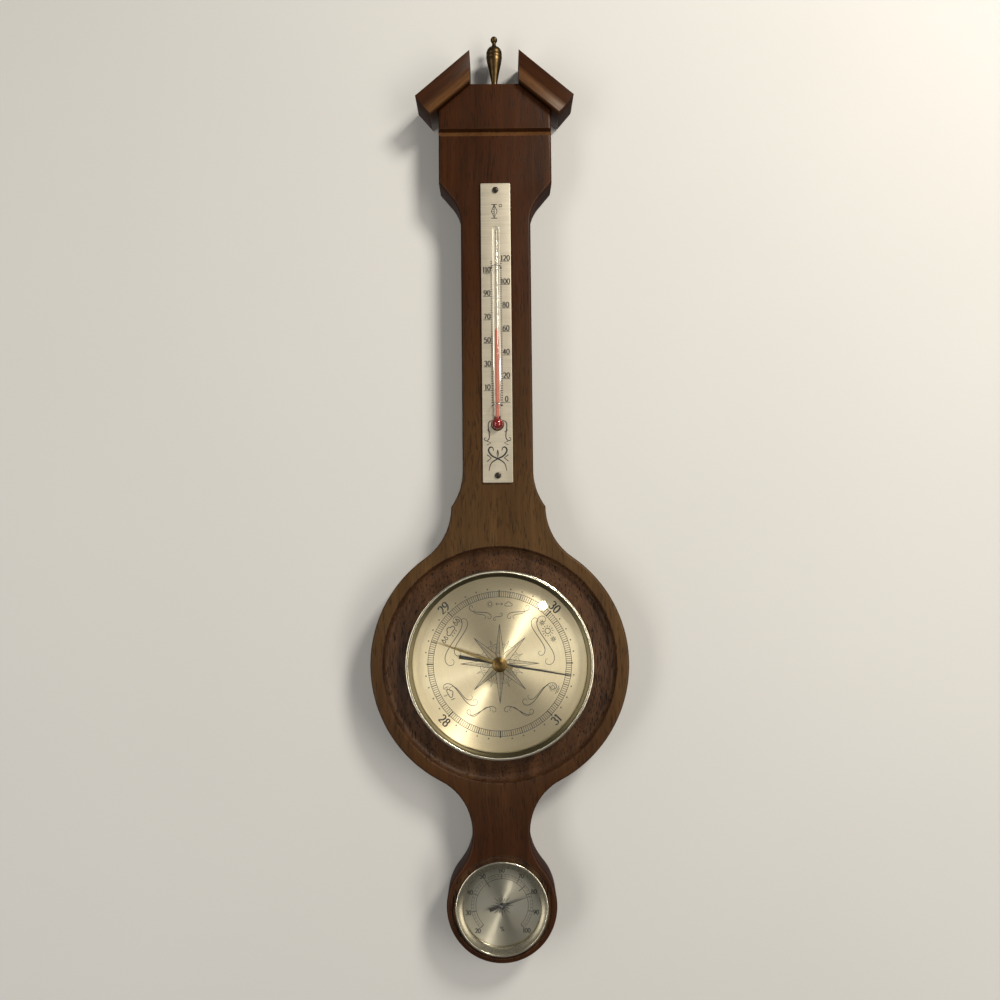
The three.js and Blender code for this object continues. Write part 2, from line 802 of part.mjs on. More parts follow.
function gripRing(unit, levels) {
  const front = levels.ledgeBack + GRIP_SETBACK;
  const inner = unit.bodyR + GAP;
  const outer = inner + GRIP_W;
  const root = inner + 0.5 * GRIP_W;
  const step = 360 / unit.ribs;
  const outline = Array.from({ length: unit.ribs }, (_, i) => [
    ...[0, 0.3].map((share) => new THREE.Vector2(...polar(outer, (i + share) * step))),
    ...[0.5, 0.8].map((share) => new THREE.Vector2(...polar(root, (i + share) * step))),
  ]).flat();
  const side = 360 / unit.sides;
  const bore = arc(0, 0, inner, 0, 360 - side, side);
  return punched(outline, [bore], front + GRIP_H, front);
}

function bezel(unit, levels) {
  const outer = levels.bezelR;
  const back = LAND - GAP;
  const rimIn = outer - unit.rimW;
  const profile = [
    [outer, back],
    [outer, levels.front + RIM_ROUND],
    [outer - 0.25 * unit.rimW, levels.front + 0.3 * RIM_ROUND],
    [outer - 0.5 * unit.rimW, levels.front],
    [outer - 0.85 * unit.rimW, levels.front],
    [rimIn, levels.front + 0.2 * RIM_ROUND],
    [levels.sightR, levels.lipFront],
    [levels.sightR, levels.lipBack],
    [levels.panR + SKIRT_W, levels.lipBack],
    [outer - RIM_T, levels.flangeFront - GAP],
    [outer - RIM_T, back],
  ];
  return turned(profile, unit.sides);
}

function dial(levels, unit) {
  const hole = ARBOR_R + DIAL_HOLE_W;
  return tube(levels.dialR, hole, levels.dialBack, levels.dialFront, unit.sides);
}

function spacerRing(levels, unit) {
  const inner = levels.dialR - SPACER_W;
  return tube(levels.dialR, inner, levels.spacerBack, levels.spacerFront, unit.sides);
}

// Hands
function pressureHand() {
  const outline = [
    new THREE.Vector2(-PRESSURE_TAIL, -0.46 * HUB_R),
    new THREE.Vector2(PRESSURE_TIP - HAND_POINT, -0.25 * HUB_R),
    new THREE.Vector2(PRESSURE_TIP, 0),
    new THREE.Vector2(PRESSURE_TIP - HAND_POINT, 0.25 * HUB_R),
    new THREE.Vector2(-PRESSURE_TAIL, 0.46 * HUB_R),
  ];
  const back = pressureBack;
  const blade = sheet(new THREE.Shape(outline), back, back - HAND_T);
  const hub = rod(HUB_R, back, back - HAND_T, 20);
  const hole = rod(ARBOR_R + GAP, back + 1, back - HAND_T - 1, 16);
  return aimed(cut(join(blade, hub), hole), PRESSURE_ANGLE);
}

function setHand() {
  const outline = [
    new THREE.Vector2(-SET_TAIL, -0.39 * HUB_R),
    new THREE.Vector2(0.45 * SET_TIP, -0.22 * HUB_R),
    new THREE.Vector2(0.7 * SET_TIP, -0.39 * HUB_R),
    new THREE.Vector2(SET_TIP, 0),
    new THREE.Vector2(0.7 * SET_TIP, 0.39 * HUB_R),
    new THREE.Vector2(0.45 * SET_TIP, 0.22 * HUB_R),
    new THREE.Vector2(-SET_TAIL, 0.39 * HUB_R),
  ];
  const blade = sheet(new THREE.Shape(outline), setBack, setBack - HAND_T);
  const hub = rod(HUB_R, setBack, setBack - HAND_T, 20);
  const hole = rod(STEM_R + GAP, setBack + 1, setBack - HAND_T - 1, 16);
  return aimed(cut(join(blade, hub), hole), SET_ANGLE);
}

function setKnob() {
  const foot = baro.glassFront - BUSH_FLANGE_T - 2 * GAP;
  const profile = [
    [0, setBack + 0.15],
    [STEM_R, setBack + 0.15],
    [STEM_R, foot],
    [KNOB_R, foot],
    [KNOB_R, foot - 0.45 * KNOB_H],
    [0.8 * KNOB_R, foot - 0.55 * KNOB_H],
    [0.62 * KNOB_R, foot - 0.6 * KNOB_H],
    [0.62 * KNOB_R, foot - 0.85 * KNOB_H],
    [0.4 * KNOB_R, foot - KNOB_H],
    [0, foot - KNOB_H],
  ];
  return turned(profile, 16);
}

function glassBush() {
  const inner = STEM_R + GAP;
  const outer = inner + BUSH_WALL;
  const profile = [
    [inner, baro.glassBack],
    [outer, baro.glassBack],
    [outer, baro.glassFront - GAP],
    [outer + BUSH_FLANGE_W, baro.glassFront - GAP],
    [outer + BUSH_FLANGE_W, baro.glassFront - GAP - BUSH_FLANGE_T],
    [inner, baro.glassFront - GAP - BUSH_FLANGE_T],
  ];
  return turned(profile, 12);
}

// Aneroid movement
function movementBaseplate() {
  const holes = [
    ...MOVEMENT_SCREW_ANGLES.map((angle) => roundHole(...screwPlace(angle), SCREW_R + GAP)),
    roundHole(adjusterX, 0, ADJUSTER_SHANK_R + GAP),
  ];
  const outline = arc(0, 0, baseR, 0, 350, 10);
  return punched(outline, holes, baseBack, baseFront);
}

function screwPlace(angle) {
  return polar(baseR - SCREW_INSET, angle);
}

// The bridge and the gear plate share one outline, wrapped round the pillars and the sector
function gearFramePlate(yBack, yFront) {
  const bossR = PILLAR_R + PILLAR_BOSS_W;
  const [left, right, low] = PILLAR_ANGLES.map((angle) => [...polar(PILLAR_RING, angle), bossR]);
  const outline = wrapped([right, left, low, [pivotX, pivotZ, PIVOT_R + PIVOT_BOSS_W]]);
  const holes = [
    roundHole(0, 0, ARBOR_R + GAP),
    roundHole(pivotX, pivotZ, PIVOT_R + GAP),
  ];
  return punched(outline, holes, yBack, yFront);
}

// Two corrugated diaphragms closed on each other, with a boss on each
function aneroidCapsule() {
  const back = capsuleBack - CAPSULE_BOSS_H;
  const front = capsuleFront + CAPSULE_BOSS_H;
  const step = (CAPSULE_R - CAPSULE_RIM_W - CAPSULE_BOSS_R) / (2 * CAPSULE_WAVES);
  const waves = Array.from({ length: 2 * CAPSULE_WAVES }, (_, i) => [
    CAPSULE_BOSS_R + i * step,
    i % 2 ? CAPSULE_WAVE : 0,
  ]);
  const profile = [
    [0, capsuleBack],
    [CAPSULE_BOSS_R, capsuleBack],
    ...waves.map(([r, dip]) => [r, back - dip]),
    [CAPSULE_R, back - CAPSULE_WAVE],
    [CAPSULE_R, front + CAPSULE_WAVE],
    ...waves.map(([r, dip]) => [r, front + dip]).reverse(),
    [CAPSULE_BOSS_R, capsuleFront],
    [0, capsuleFront],
  ];
  return turned(profile, 24);
}

function capsulePost() {
  const foot = capsuleFront - GAP;
  const head = leverFront - GAP;
  const profile = [
    [0, foot],
    [POST_R, foot],
    [POST_R, head],
    [POST_R + POST_HEAD_W, head],
    [POST_R + POST_HEAD_W, head - POST_HEAD_T],
    [0, head - POST_HEAD_T],
  ];
  return turned(profile, 12);
}

function springBracket() {
  const back = baseFront - GAP;
  const outer = rootX - BRACKET_L;
  const throat = rootX - SPRING_GRIP;
  const foot = rootX + BRACKET_FOOT;
  const outline = [
    new THREE.Vector2(outer, back),
    new THREE.Vector2(foot, back),
    new THREE.Vector2(foot, back - BRACKET_T),
    new THREE.Vector2(rootX, back - BRACKET_T),
    new THREE.Vector2(rootX, springBack + GAP),
    new THREE.Vector2(throat, springBack + GAP),
    new THREE.Vector2(throat, springFront - GAP),
    new THREE.Vector2(rootX, springFront - GAP),
    new THREE.Vector2(rootX, springFront - GAP - BRACKET_T),
    new THREE.Vector2(outer, springFront - GAP - BRACKET_T),
  ];
  return standing(outline, SPRING_W + 2 * BRACKET_T);
}

function mainspring() {
  const half = SPRING_W / 2;
  const root = rootX - SPRING_GRIP + GAP;
  const outline = [
    new THREE.Vector2(root, -half),
    new THREE.Vector2(-half, -half),
    ...arc(0, 0, 0.6 * half, -60, 60, 30),
    new THREE.Vector2(-half, half),
    new THREE.Vector2(root, half),
  ];
  return punched(outline, [roundHole(0, 0, POST_R + GAP)], springBack, springFront);
}

function mainLever() {
  const tipZ = rockerZ + CRANK_R;
  const outline = wrapped([[0, 0, LEVER_EYE_R], [crankX, tipZ, LEVER_TIP_R]]);
  return punched(outline, [roundHole(0, 0, POST_R + GAP)], leverBack, leverFront);
}

function alongX(radius, x0, x1, y, z, sides = 12) {
  return new THREE.CylinderGeometry(radius, radius, x1 - x0, sides)
    .rotateZ(Math.PI / 2)
    .translate((x0 + x1) / 2, y, z);
}

// Shaft, upright finger with a ball, and a crank that the main lever presses
function rockerShaft() {
  const [left, right] = bearingXs;
  const shaft = alongX(SHAFT_R, left - SHAFT_OVERHANG, right + SHAFT_OVERHANG, 0, 0);
  const finger = rod(FINGER_R, 0, -tailR, 8, ballX, 0);
  const ball = new THREE.SphereGeometry(BALL_R, 10, 8).translate(ballX, -tailR, 0);
  const tilt = -radians(LINKAGE_TILT);
  const crank = box(crankX - CRANK_HALF_W, crankX + CRANK_HALF_W, -FINGER_R, FINGER_R, 0, CRANK_R);
  const crankPin = alongX(PIN_R, crankX - CRANK_PIN_HALF, crankX + CRANK_PIN_HALF, 0, CRANK_R);
  const rocker = join(shaft, finger.rotateX(tilt), ball.rotateX(tilt), crank, crankPin);
  return rocker.translate(0, rockerY, rockerZ);
}

function rockerBearing(x) {
  const foot = baseFront - GAP;
  const crown = rockerY - SHAFT_R - BEARING_CROWN;
  const outline = [
    new THREE.Vector2(foot, rockerZ - BEARING_HALF_W),
    new THREE.Vector2(foot, rockerZ + BEARING_HALF_W),
    new THREE.Vector2(crown, rockerZ + BEARING_HALF_W),
    new THREE.Vector2(crown, rockerZ - BEARING_HALF_W),
  ];
  const hole = arc(rockerY, rockerZ, SHAFT_R + GAP, 0, 330, 30);
  return bar(shapeOf(outline, [hole]), x - BEARING_HALF_T, x + BEARING_HALF_T);
}

// Involute teeth: the outline of one tooth centred on an angle in degrees
function toothAt(teeth, degrees) {
  const involute = (angle) => Math.tan(angle) - angle;
  const slant = radians(TOOTH_PRESSURE);
  const pitchR = (MODULE * teeth) / 2;
  const baseCircle = pitchR * Math.cos(slant);
  const rootR = pitchR - DEDENDUM * MODULE;
  const tipR = pitchR + ADDENDUM * MODULE;
  const halfAtPitch = Math.PI / (2 * teeth) - BACKLASH / (4 * pitchR);
  const halfAt = (r) => {
    const curl = r > baseCircle ? involute(Math.acos(baseCircle / r)) : 0;
    return halfAtPitch + involute(slant) - curl;
  };
  const foot = rootR < baseCircle ? [rootR, baseCircle] : [rootR];
  const flank = [...foot, pitchR, (pitchR + tipR) / 2, tipR].map((r) => [r, halfAt(r)]);
  const centre = radians(degrees);
  const at = (r, angle) => new THREE.Vector2(r * Math.cos(angle), r * Math.sin(angle));
  return [
    ...flank.map(([r, half]) => at(r, centre - half)),
    ...flank.map(([r, half]) => at(r, centre + half)).reverse(),
  ];
}

// Arbor, collet and pinion; a gap of the pinion faces the sector
function handArbor() {
  const step = 360 / PINION_TEETH;
  const teeth = Array.from({ length: PINION_TEETH }, (_, i) =>
    toothAt(PINION_TEETH, SECTOR_BEARING + (i + 0.5) * step),
  ).flat();
  const pinion = sheet(new THREE.Shape(teeth), pinionBack, pinionFront);
  const arborFront = pressureBack - HAND_T - ARBOR_END / 2;
  const arbor = rod(ARBOR_R, gearPlateBack + ARBOR_END, arborFront, 10);
  const collet = rod(ARBOR_R + COLLET_W, pressureBack + 2 * GAP, pressureBack + GAP, 10);
  return join(arbor, pinion, collet);
}

function sectorGear() {
  const step = 360 / SECTOR_TEETH;
  const facing = SECTOR_BEARING + 180;
  const count = SECTOR_LAST - SECTOR_FIRST + 1;
  const angles = Array.from({ length: count }, (_, i) => facing + (SECTOR_FIRST + i) * step);
  const from = angles[0] - step;
  const to = angles.at(-1) + step;
  const rootR = MODULE * (SECTOR_TEETH / 2 - DEDENDUM);
  const hubR = PIVOT_R + SECTOR_HUB_W;
  const wedge = [
    new THREE.Vector2(...polar(hubR, from - 70)),
    new THREE.Vector2(...polar(rootR, from)),
    ...angles.flatMap((angle) => toothAt(SECTOR_TEETH, angle)),
    new THREE.Vector2(...polar(rootR, to)),
    new THREE.Vector2(...polar(hubR, to + 70)),
  ];
  const window = [
    ...arc(0, 0, rootR - SECTOR_RIM_W, from + 5, to - 5, 6),
    ...arc(0, 0, hubR + SECTOR_WINDOW_W, to - 14, from + 14, 6),
  ];
  const [tailX, tailZ] = polar(tailR, LINKAGE_TILT);
  const tail = wrapped([
    [0, 0, PIVOT_R + SECTOR_HUB_W / 2],
    [tailX, tailZ, PIN_R + SECTOR_PIN_WALL],
  ]);
  const blade = punched(wedge, [window], sectorBack, sectorFront);
  const arm = sheet(new THREE.Shape(tail), sectorBack, sectorFront);
  const hub = rod(hubR, sectorBack, sectorFront, 20);
  const pin = rod(PIN_R, contactY + 2 * PIN_R, sectorBack - 0.9 * GEAR_T, 10, tailX, tailZ);
  const bore = rod(PIVOT_R + GAP, sectorBack + 1, sectorFront - 1, 16);
  return cut(join(blade, arm, hub, pin), bore).translate(pivotX, 0, pivotZ);
}

function hairspring() {
  const inner = ARBOR_R + GAP + HAIRSPRING_W;
  return spiral(
    inner,
    HAIRSPRING_R,
    HAIRSPRING_TURNS,
    HAIRSPRING_W,
    hairspringBack,
    hairspringFront,
  );
}

function hairspringStud() {
  const x = HAIRSPRING_R + HAIRSPRING_W / 2 + GAP + STUD_R;
  return rod(STUD_R, hairspringBack + GAP, hairspringFront, 10, x, 0);
}

// Screws that enter from the wall side: movement screws and the pressure adjuster
function backScrew(headR, shankR, end, x, z) {
  const under = BARO.backY + GAP;
  const profile = [
    [0, under + SCREW_HEAD_T],
    [headR, under + SCREW_HEAD_T],
    [headR, under],
    [shankR, under],
    [shankR, end],
    [0, end],
  ];
  const top = under + SCREW_HEAD_T;
  const slot = box(
    x - headR - 1,
    x + headR + 1,
    top - SLOT_DEPTH,
    top + 1,
    z - SLOT_HALF_W,
    z + SLOT_HALF_W,
  );
  return cut(turned(profile, 12, x, z), slot);
}

// Hygrometer works: a coil that winds with the humidity, and the strap that carries its arbor
const strapBack = hygro.floorFront - 3 * GAP;

function hygrometerStrap() {
  const front = hygro.dialBack + GAP;
  const leg = COIL_R + STRAP_ROOM;
  const toe = leg + STRAP_TOE;
  const half = [
    [toe, front],
    [toe, front + STRAP_T],
    [leg + STRAP_T, front + STRAP_T],
    [leg + STRAP_T, strapBack],
  ];
  const inside = [
    [-leg, front],
    [-leg, strapBack - STRAP_T],
    [leg, strapBack - STRAP_T],
    [leg, front],
  ];
  const outline = [
    ...half.map(([x, y]) => new THREE.Vector2(x, y)),
    ...half.map(([x, y]) => new THREE.Vector2(-x, y)).reverse(),
    ...inside.map(([x, y]) => new THREE.Vector2(x, y)),
  ];
  const hole = rod(ARBOR_R + GAP, strapBack + 1, strapBack - STRAP_T - 1, 16);
  return cut(standing(outline, STRAP_W), hole);
}

function hygrometerHand() {
  const outline = [
    new THREE.Vector2(-HUMID_TAIL, -0.36 * HUB_R),
    new THREE.Vector2(-HUB_R, -0.21 * HUB_R),
    new THREE.Vector2(HUMID_TIP, 0),
    new THREE.Vector2(-HUB_R, 0.21 * HUB_R),
    new THREE.Vector2(-HUMID_TAIL, 0.36 * HUB_R),
  ];
  const blade = sheet(new THREE.Shape(outline), humidBack, humidBack - HAND_T);
  const hub = rod(0.7 * HUB_R, humidBack, humidBack - HAND_T, 16);
  const hole = rod(ARBOR_R + GAP, humidBack + 1, humidBack - HAND_T - 1, 16);
  return aimed(cut(join(blade, hub), hole), HUMID_ANGLE);
}

function humidityCoil() {
  const middle = (hygro.dialBack + strapBack) / 2;
  const inner = ARBOR_R + GAP + COIL_W;
  return spiral(inner, COIL_R, COIL_TURNS, COIL_W, middle + COIL_H / 2, middle - COIL_H / 2);
}

// Hanger: a keyhole plate let into the back
function keyholePlate() {
  const halfW = HANGER_W / 2;
  const halfL = HANGER_L / 2;
  const centreX = halfW - HANGER_ROUND;
  const centreZ = halfL - HANGER_ROUND;
  const outline = [
    ...arc(centreX, HANGER_Z + centreZ, HANGER_ROUND, 0, 90, 30),
    ...arc(-centreX, HANGER_Z + centreZ, HANGER_ROUND, 90, 180, 30),
    ...arc(-centreX, HANGER_Z - centreZ, HANGER_ROUND, 180, 270, 30),
    ...arc(centreX, HANGER_Z - centreZ, HANGER_ROUND, 270, 360, 30),
  ];
  const meet = THREE.MathUtils.radToDeg(Math.acos(KEY_SLOT_R / KEYHOLE_R));
  const keyhole = [
    ...arc(0, keyholeZ, KEYHOLE_R, 180 - meet, 360 + meet, 20),
    ...arc(0, keyholeZ + KEY_SLOT_L, KEY_SLOT_R, 0, 180, 30),
  ];
  const screwHoles = hangerScrewZs.map((z) => roundHole(0, z, HANGER_SCREW_R + GAP));
  return punched(outline, [keyhole, ...screwHoles], -GAP, -GAP - HANGER_T);
}

function hangerScrew(z) {
  const end = -HANGER_T - 2 * GAP - HANGER_SCREW_L + 1;
  const profile = [
    [0, -GAP],
    [HANGER_SCREW_R, -GAP],
    [HANGER_SCREW_R, end + HANGER_SCREW_POINT],
    [0, end],
  ];
  return turned(profile, 12, 0, z);
}

// Assembly

const station = new THREE.Group();
const barometer = new THREE.Group();
const hygrometer = new THREE.Group();
barometer.position.z = LOBE_Z;
hygrometer.position.z = HYGRO_Z;
station.add(barometer, hygrometer);

part(station, "backboard", backboard(), wood);
part(station, "pediment_moulding_left", moulding(-1), wood);
part(station, "pediment_moulding_right", moulding(1), wood);
part(station, "finial", finial(), agedBrass);

part(station, "thermometer_plate", thermometerPlate(), paleBrass);
part(station, "thermometer_tube", thermometerTube(), glass);
part(station, "thermometer_spirit", thermometerSpirit(), spirit);
["upper", "lower"].forEach((place, i) => {
  part(station, `tube_clip_${place}`, tubeClip(clipZs[i]), brass);
  part(station, `plate_screw_${place}`, plateScrew(plateScrewZs[i]), blackened);
});

const caseHoles = [
  ...MOVEMENT_SCREW_ANGLES.map((angle) => screwHole(SCREW_R, ...screwPlace(angle))),
  screwHole(ADJUSTER_SHANK_R, adjusterX, 0),
];

function screwHole(radius, x, z) {
  return rod(radius + GAP, BARO.backY + 1, baro.floorFront - 1, 12, x, z);
}

const ventHoles = Array.from({ length: VENTS }, (_, i) =>
  rod(
    VENT_R,
    HYGRO.backY + 1,
    hygro.floorFront - 1,
    10,
    ...polar(0.7 * HYGRO.bodyR, (360 / VENTS) * (i + 0.5)),
  ),
);

part(barometer, "barometer_case", instrumentCase(BARO, baro, caseHoles), tinplate);
part(barometer, "barometer_grip_ring", gripRing(BARO, baro), rubber);
part(barometer, "barometer_bezel", bezel(BARO, baro), paleBrass);
part(barometer, "barometer_spacer_ring", spacerRing(baro, BARO), paleBrass);
part(barometer, "barometer_dial", dial(baro, BARO), paleBrass);
part(
  barometer,
  "barometer_glass",
  tube(baro.dialR, STEM_R + 2 * GAP + BUSH_WALL, baro.glassBack, baro.glassFront, BARO.sides),
  glass,
);
part(barometer, "glass_bush", glassBush(), brass);
part(barometer, "set_hand", setHand(), brass);
part(barometer, "set_knob", setKnob(), brass);
part(barometer, "pressure_hand", pressureHand(), blackened);
part(barometer, "hand_arbor", handArbor(), steel);

part(barometer, "movement_baseplate", movementBaseplate(), brass);
part(barometer, "gear_plate", gearFramePlate(gearPlateBack, gearPlateFront), brass);
part(barometer, "bridge_plate", gearFramePlate(bridgeBack, bridgeFront), brass);
PILLAR_ANGLES.forEach((angle, i) => {
  const place = polar(PILLAR_RING, angle);
  const pillar = rod(PILLAR_R, baseFront - GAP, gearPlateBack + GAP, 12, ...place);
  const spacer = rod(PILLAR_R, gearPlateFront - GAP, bridgeBack + GAP, 12, ...place);
  part(barometer, `pillar_${i + 1}`, pillar, brass);
  part(barometer, `gear_spacer_${i + 1}`, spacer, brass);
});
part(barometer, "aneroid_capsule", aneroidCapsule(), steel);
part(barometer, "capsule_post", capsulePost(), steel);
part(barometer, "spring_bracket", springBracket(), brass);
part(barometer, "mainspring", mainspring(), steel);
part(barometer, "main_lever", mainLever(), brass);
part(barometer, "rocker_shaft", rockerShaft(), steel);
part(barometer, "rocker_bearing_left", rockerBearing(bearingXs[0]), brass);
part(barometer, "rocker_bearing_right", rockerBearing(bearingXs[1]), brass);
part(barometer, "sector_gear", sectorGear(), brass);
part(
  barometer,
  "sector_arbor",
  rod(PIVOT_R, gearPlateBack + ARBOR_END, bridgeFront - ARBOR_END, 12, pivotX, pivotZ),
  steel,
);
part(barometer, "hairspring", hairspring(), steel);
part(barometer, "hairspring_stud", hairspringStud(), brass);
part(
  barometer,
  "adjusting_screw",
  backScrew(ADJUSTER_R, ADJUSTER_SHANK_R, baseFront, adjusterX, 0),
  steel,
);
MOVEMENT_SCREW_ANGLES.forEach((angle, i) => {
  const screw = backScrew(MOVEMENT_HEAD_R, SCREW_R, baseFront + 0.2, ...screwPlace(angle));
  part(barometer, `movement_screw_${i + 1}`, screw, steel);
});

part(hygrometer, "hygrometer_case", instrumentCase(HYGRO, hygro, ventHoles), tinplate);
part(hygrometer, "hygrometer_grip_ring", gripRing(HYGRO, hygro), rubber);
part(hygrometer, "hygrometer_bezel", bezel(HYGRO, hygro), paleBrass);
part(hygrometer, "hygrometer_spacer_ring", spacerRing(hygro, HYGRO), paleBrass);
part(hygrometer, "hygrometer_dial", dial(hygro, HYGRO), paleBrass);
part(
  hygrometer,
  "hygrometer_glass",
  rod(hygro.dialR, hygro.glassBack, hygro.glassFront, HYGRO.sides),
  glass,
);
part(hygrometer, "hygrometer_hand", hygrometerHand(), blackened);
part(
  hygrometer,
  "hygrometer_arbor",
  rod(ARBOR_R, strapBack + ARBOR_END, humidBack - HAND_T - ARBOR_END, 12),
  steel,
);
part(hygrometer, "humidity_coil", humidityCoil(), brass);
part(hygrometer, "hygrometer_strap", hygrometerStrap(), brass);

part(station, "keyhole_plate", keyholePlate(), steel);
hangerScrewZs.forEach((z, i) => part(station, `hanger_screw_${i + 1}`, hangerScrew(z), steel));

export default station;
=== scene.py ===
# %% [markdown]
# # A banjo shaped weather station
# This lesson dresses the CAD model of a wall weather station: a dark wooden board with a broken
# pediment and a turned brass finial, a spirit thermometer, an aneroid barometer and a small
# hygrometer. The frame holds every solid at its true size, and each piece made here takes its
# place from the solid that it dresses. Blender adds what faceted solids can't show, such as round
# edges, wood grain, spun metal, glass and printing.

# %% Load the frame
import json
import math

import bmesh
import bpy
from mathutils import Matrix, Vector


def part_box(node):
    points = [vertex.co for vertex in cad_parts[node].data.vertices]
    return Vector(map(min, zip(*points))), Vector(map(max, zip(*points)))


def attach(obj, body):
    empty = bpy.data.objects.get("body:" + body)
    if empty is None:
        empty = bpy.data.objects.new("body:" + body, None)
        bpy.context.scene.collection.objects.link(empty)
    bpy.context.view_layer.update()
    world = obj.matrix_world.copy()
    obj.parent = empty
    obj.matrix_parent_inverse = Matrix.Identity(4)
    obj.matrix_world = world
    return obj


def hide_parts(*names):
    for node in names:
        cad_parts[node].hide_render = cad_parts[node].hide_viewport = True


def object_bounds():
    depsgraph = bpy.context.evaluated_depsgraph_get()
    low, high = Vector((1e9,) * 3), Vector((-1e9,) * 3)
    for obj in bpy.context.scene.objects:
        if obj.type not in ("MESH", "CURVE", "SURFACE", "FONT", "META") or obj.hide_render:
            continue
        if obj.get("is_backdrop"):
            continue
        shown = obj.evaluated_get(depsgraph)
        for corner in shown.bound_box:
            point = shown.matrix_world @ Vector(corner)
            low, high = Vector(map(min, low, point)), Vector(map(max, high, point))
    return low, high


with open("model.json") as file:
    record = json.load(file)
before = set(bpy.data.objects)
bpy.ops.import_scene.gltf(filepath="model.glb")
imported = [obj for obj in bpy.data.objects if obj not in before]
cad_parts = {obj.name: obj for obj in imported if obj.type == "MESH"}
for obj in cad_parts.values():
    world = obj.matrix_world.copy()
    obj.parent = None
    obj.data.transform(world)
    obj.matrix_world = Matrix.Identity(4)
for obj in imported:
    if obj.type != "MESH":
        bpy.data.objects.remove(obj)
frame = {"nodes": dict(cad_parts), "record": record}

cad_low, cad_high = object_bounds()
MM = 0.001
print(f"{len(frame['nodes'])} solids, {[round(v / MM) for v in cad_high - cad_low]} mm over all")

# %% [markdown]
# ## Measures from the frame
# Real pieces are designed in millimetres, so the meshes are too, and each one is scaled to metres
# as its last step. The levels of the board and the two dials are read from the frame. If the
# model grows, the dressing grows with it, which typed copies of the same numbers wouldn't do.

# %% Read the main levels


def box_mm(node):
    low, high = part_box(node)
    return low / MM, high / MM


def centre_mm(node):
    low, high = box_mm(node)
    return (low.x + high.x) / 2, (low.z + high.z) / 2


def radius_mm(node):
    low, high = box_mm(node)
    return (high.z - low.z) / 2


board_low, board_high = box_mm("backboard")
BACK = board_high.y
FACE = board_low.y
HEAD_TOP = board_high.z
LOBE_R = board_high.x
BAROMETER = centre_mm("barometer_dial")
HYGROMETER = centre_mm("hygrometer_dial")
CLEAR = 0.3
print(f"board {BACK - FACE:.1f} thick, dials at {BAROMETER[1]:.1f} and {HYGROMETER[1]:.1f}")

# %% [markdown]
# ## Camera
# The photograph was taken from close by, at about 60 cm, by someone who held the camera a little
# above the middle of the board and tipped it up by three degrees. A camera at that distance, and
# not a far one with a long lens, is what makes the pediment's end faces show. The lens is given
# as millimetres on Blender's 36 mm sensor, and the slight roll is the photographer's hand.

# %% Place the camera
camera_data = bpy.data.cameras.new("photographer")
camera_data.lens = 30.6
camera_data.clip_start = 0.01
camera = bpy.data.objects.new("photographer", camera_data)
camera.location = (0.0012, -0.596, -0.245)
camera.rotation_mode = "ZYX"
camera.rotation_euler = (math.radians(93), 0, math.radians(-0.55))
bpy.context.scene.collection.objects.link(camera)
bpy.context.scene.camera = camera
print("camera", [round(v, 3) for v in camera.location])

# %% [markdown]
# ## Node helpers
# A material is a small program. These helpers keep it short to write: one adds a node and fills
# its sockets with numbers or with links, and the rest name the few sums that come up again and
# again, such as stretching a value from one range to another.

# %% Helpers that write nodes


def node(tree, kind, inputs=None, **settings):
    made = tree.nodes.new(kind)
    for name, value in settings.items():
        setattr(made, name, value)
    for key, value in (inputs or {}).items():
        if isinstance(value, bpy.types.NodeSocket):
            tree.links.new(value, made.inputs[key])
        else:
            made.inputs[key].default_value = value
    return made


def sums(tree, operation, first, second=0.0):
    return node(tree, "ShaderNodeMath", {0: first, 1: second}, operation=operation).outputs[0]


def spread(tree, value, low, high, to_low=0.0, to_high=1.0):
    inputs = {"Value": value, "From Min": low, "From Max": high, "To Min": to_low, "To Max": to_high}
    return node(tree, "ShaderNodeMapRange", inputs, clamp=True).outputs["Result"]


def blended(tree, share, first, second, how="MIX"):
    inputs = {0: share, 6: first, 7: second}
    return node(tree, "ShaderNodeMix", inputs, data_type="RGBA", blend_type=how).outputs[2]


def noise(tree, vector, scale, detail=3.0, roughness=0.5, distortion=0.0):
    inputs = {"Vector": vector, "Scale": scale, "Detail": detail, "Roughness": roughness}
    inputs["Distortion"] = distortion
    return node(tree, "ShaderNodeTexNoise", inputs).outputs["Fac"]


def new_group(name, inputs, outputs):
    tree = bpy.data.node_groups.new(name, "ShaderNodeTree")
    for label, kind, value in inputs:
        socket = tree.interface.new_socket(label, in_out="INPUT", socket_type=kind)
        socket.default_value = value
    for label, kind in outputs:
        tree.interface.new_socket(label, in_out="OUTPUT", socket_type=kind)
    return tree, tree.nodes.new("NodeGroupInput").outputs, tree.nodes.new("NodeGroupOutput").inputs


def effect(tree, name, inputs=None):
    return node(tree, "ShaderNodeGroup", inputs, node_tree=bpy.data.node_groups[name]).outputs


def new_finish(name, **sockets):
    material = bpy.data.materials.new(name)
    material.use_nodes = True
    tree = material.node_tree
    shader = tree.nodes["Principled BSDF"]
    for label, value in sockets.items():
        shader.inputs[label.replace("_", " ")].default_value = value
    return material, tree, shader


def wire(tree, shader, colour=None, roughness=None, height=None, strength=0.3, depth=0.0001):
    if colour is not None:
        tree.links.new(colour, shader.inputs["Base Color"])
    if roughness is not None:
        tree.links.new(roughness, shader.inputs["Roughness"])
    if height is not None:
        inputs = {"Height": height, "Strength": strength, "Distance": depth}
        bump = node(tree, "ShaderNodeBump", inputs)
        tree.links.new(bump.outputs["Normal"], shader.inputs["Normal"])


COLOUR, VALUE, VECTOR = "NodeSocketColor", "NodeSocketFloat", "NodeSocketVector"
print("node helpers ready")

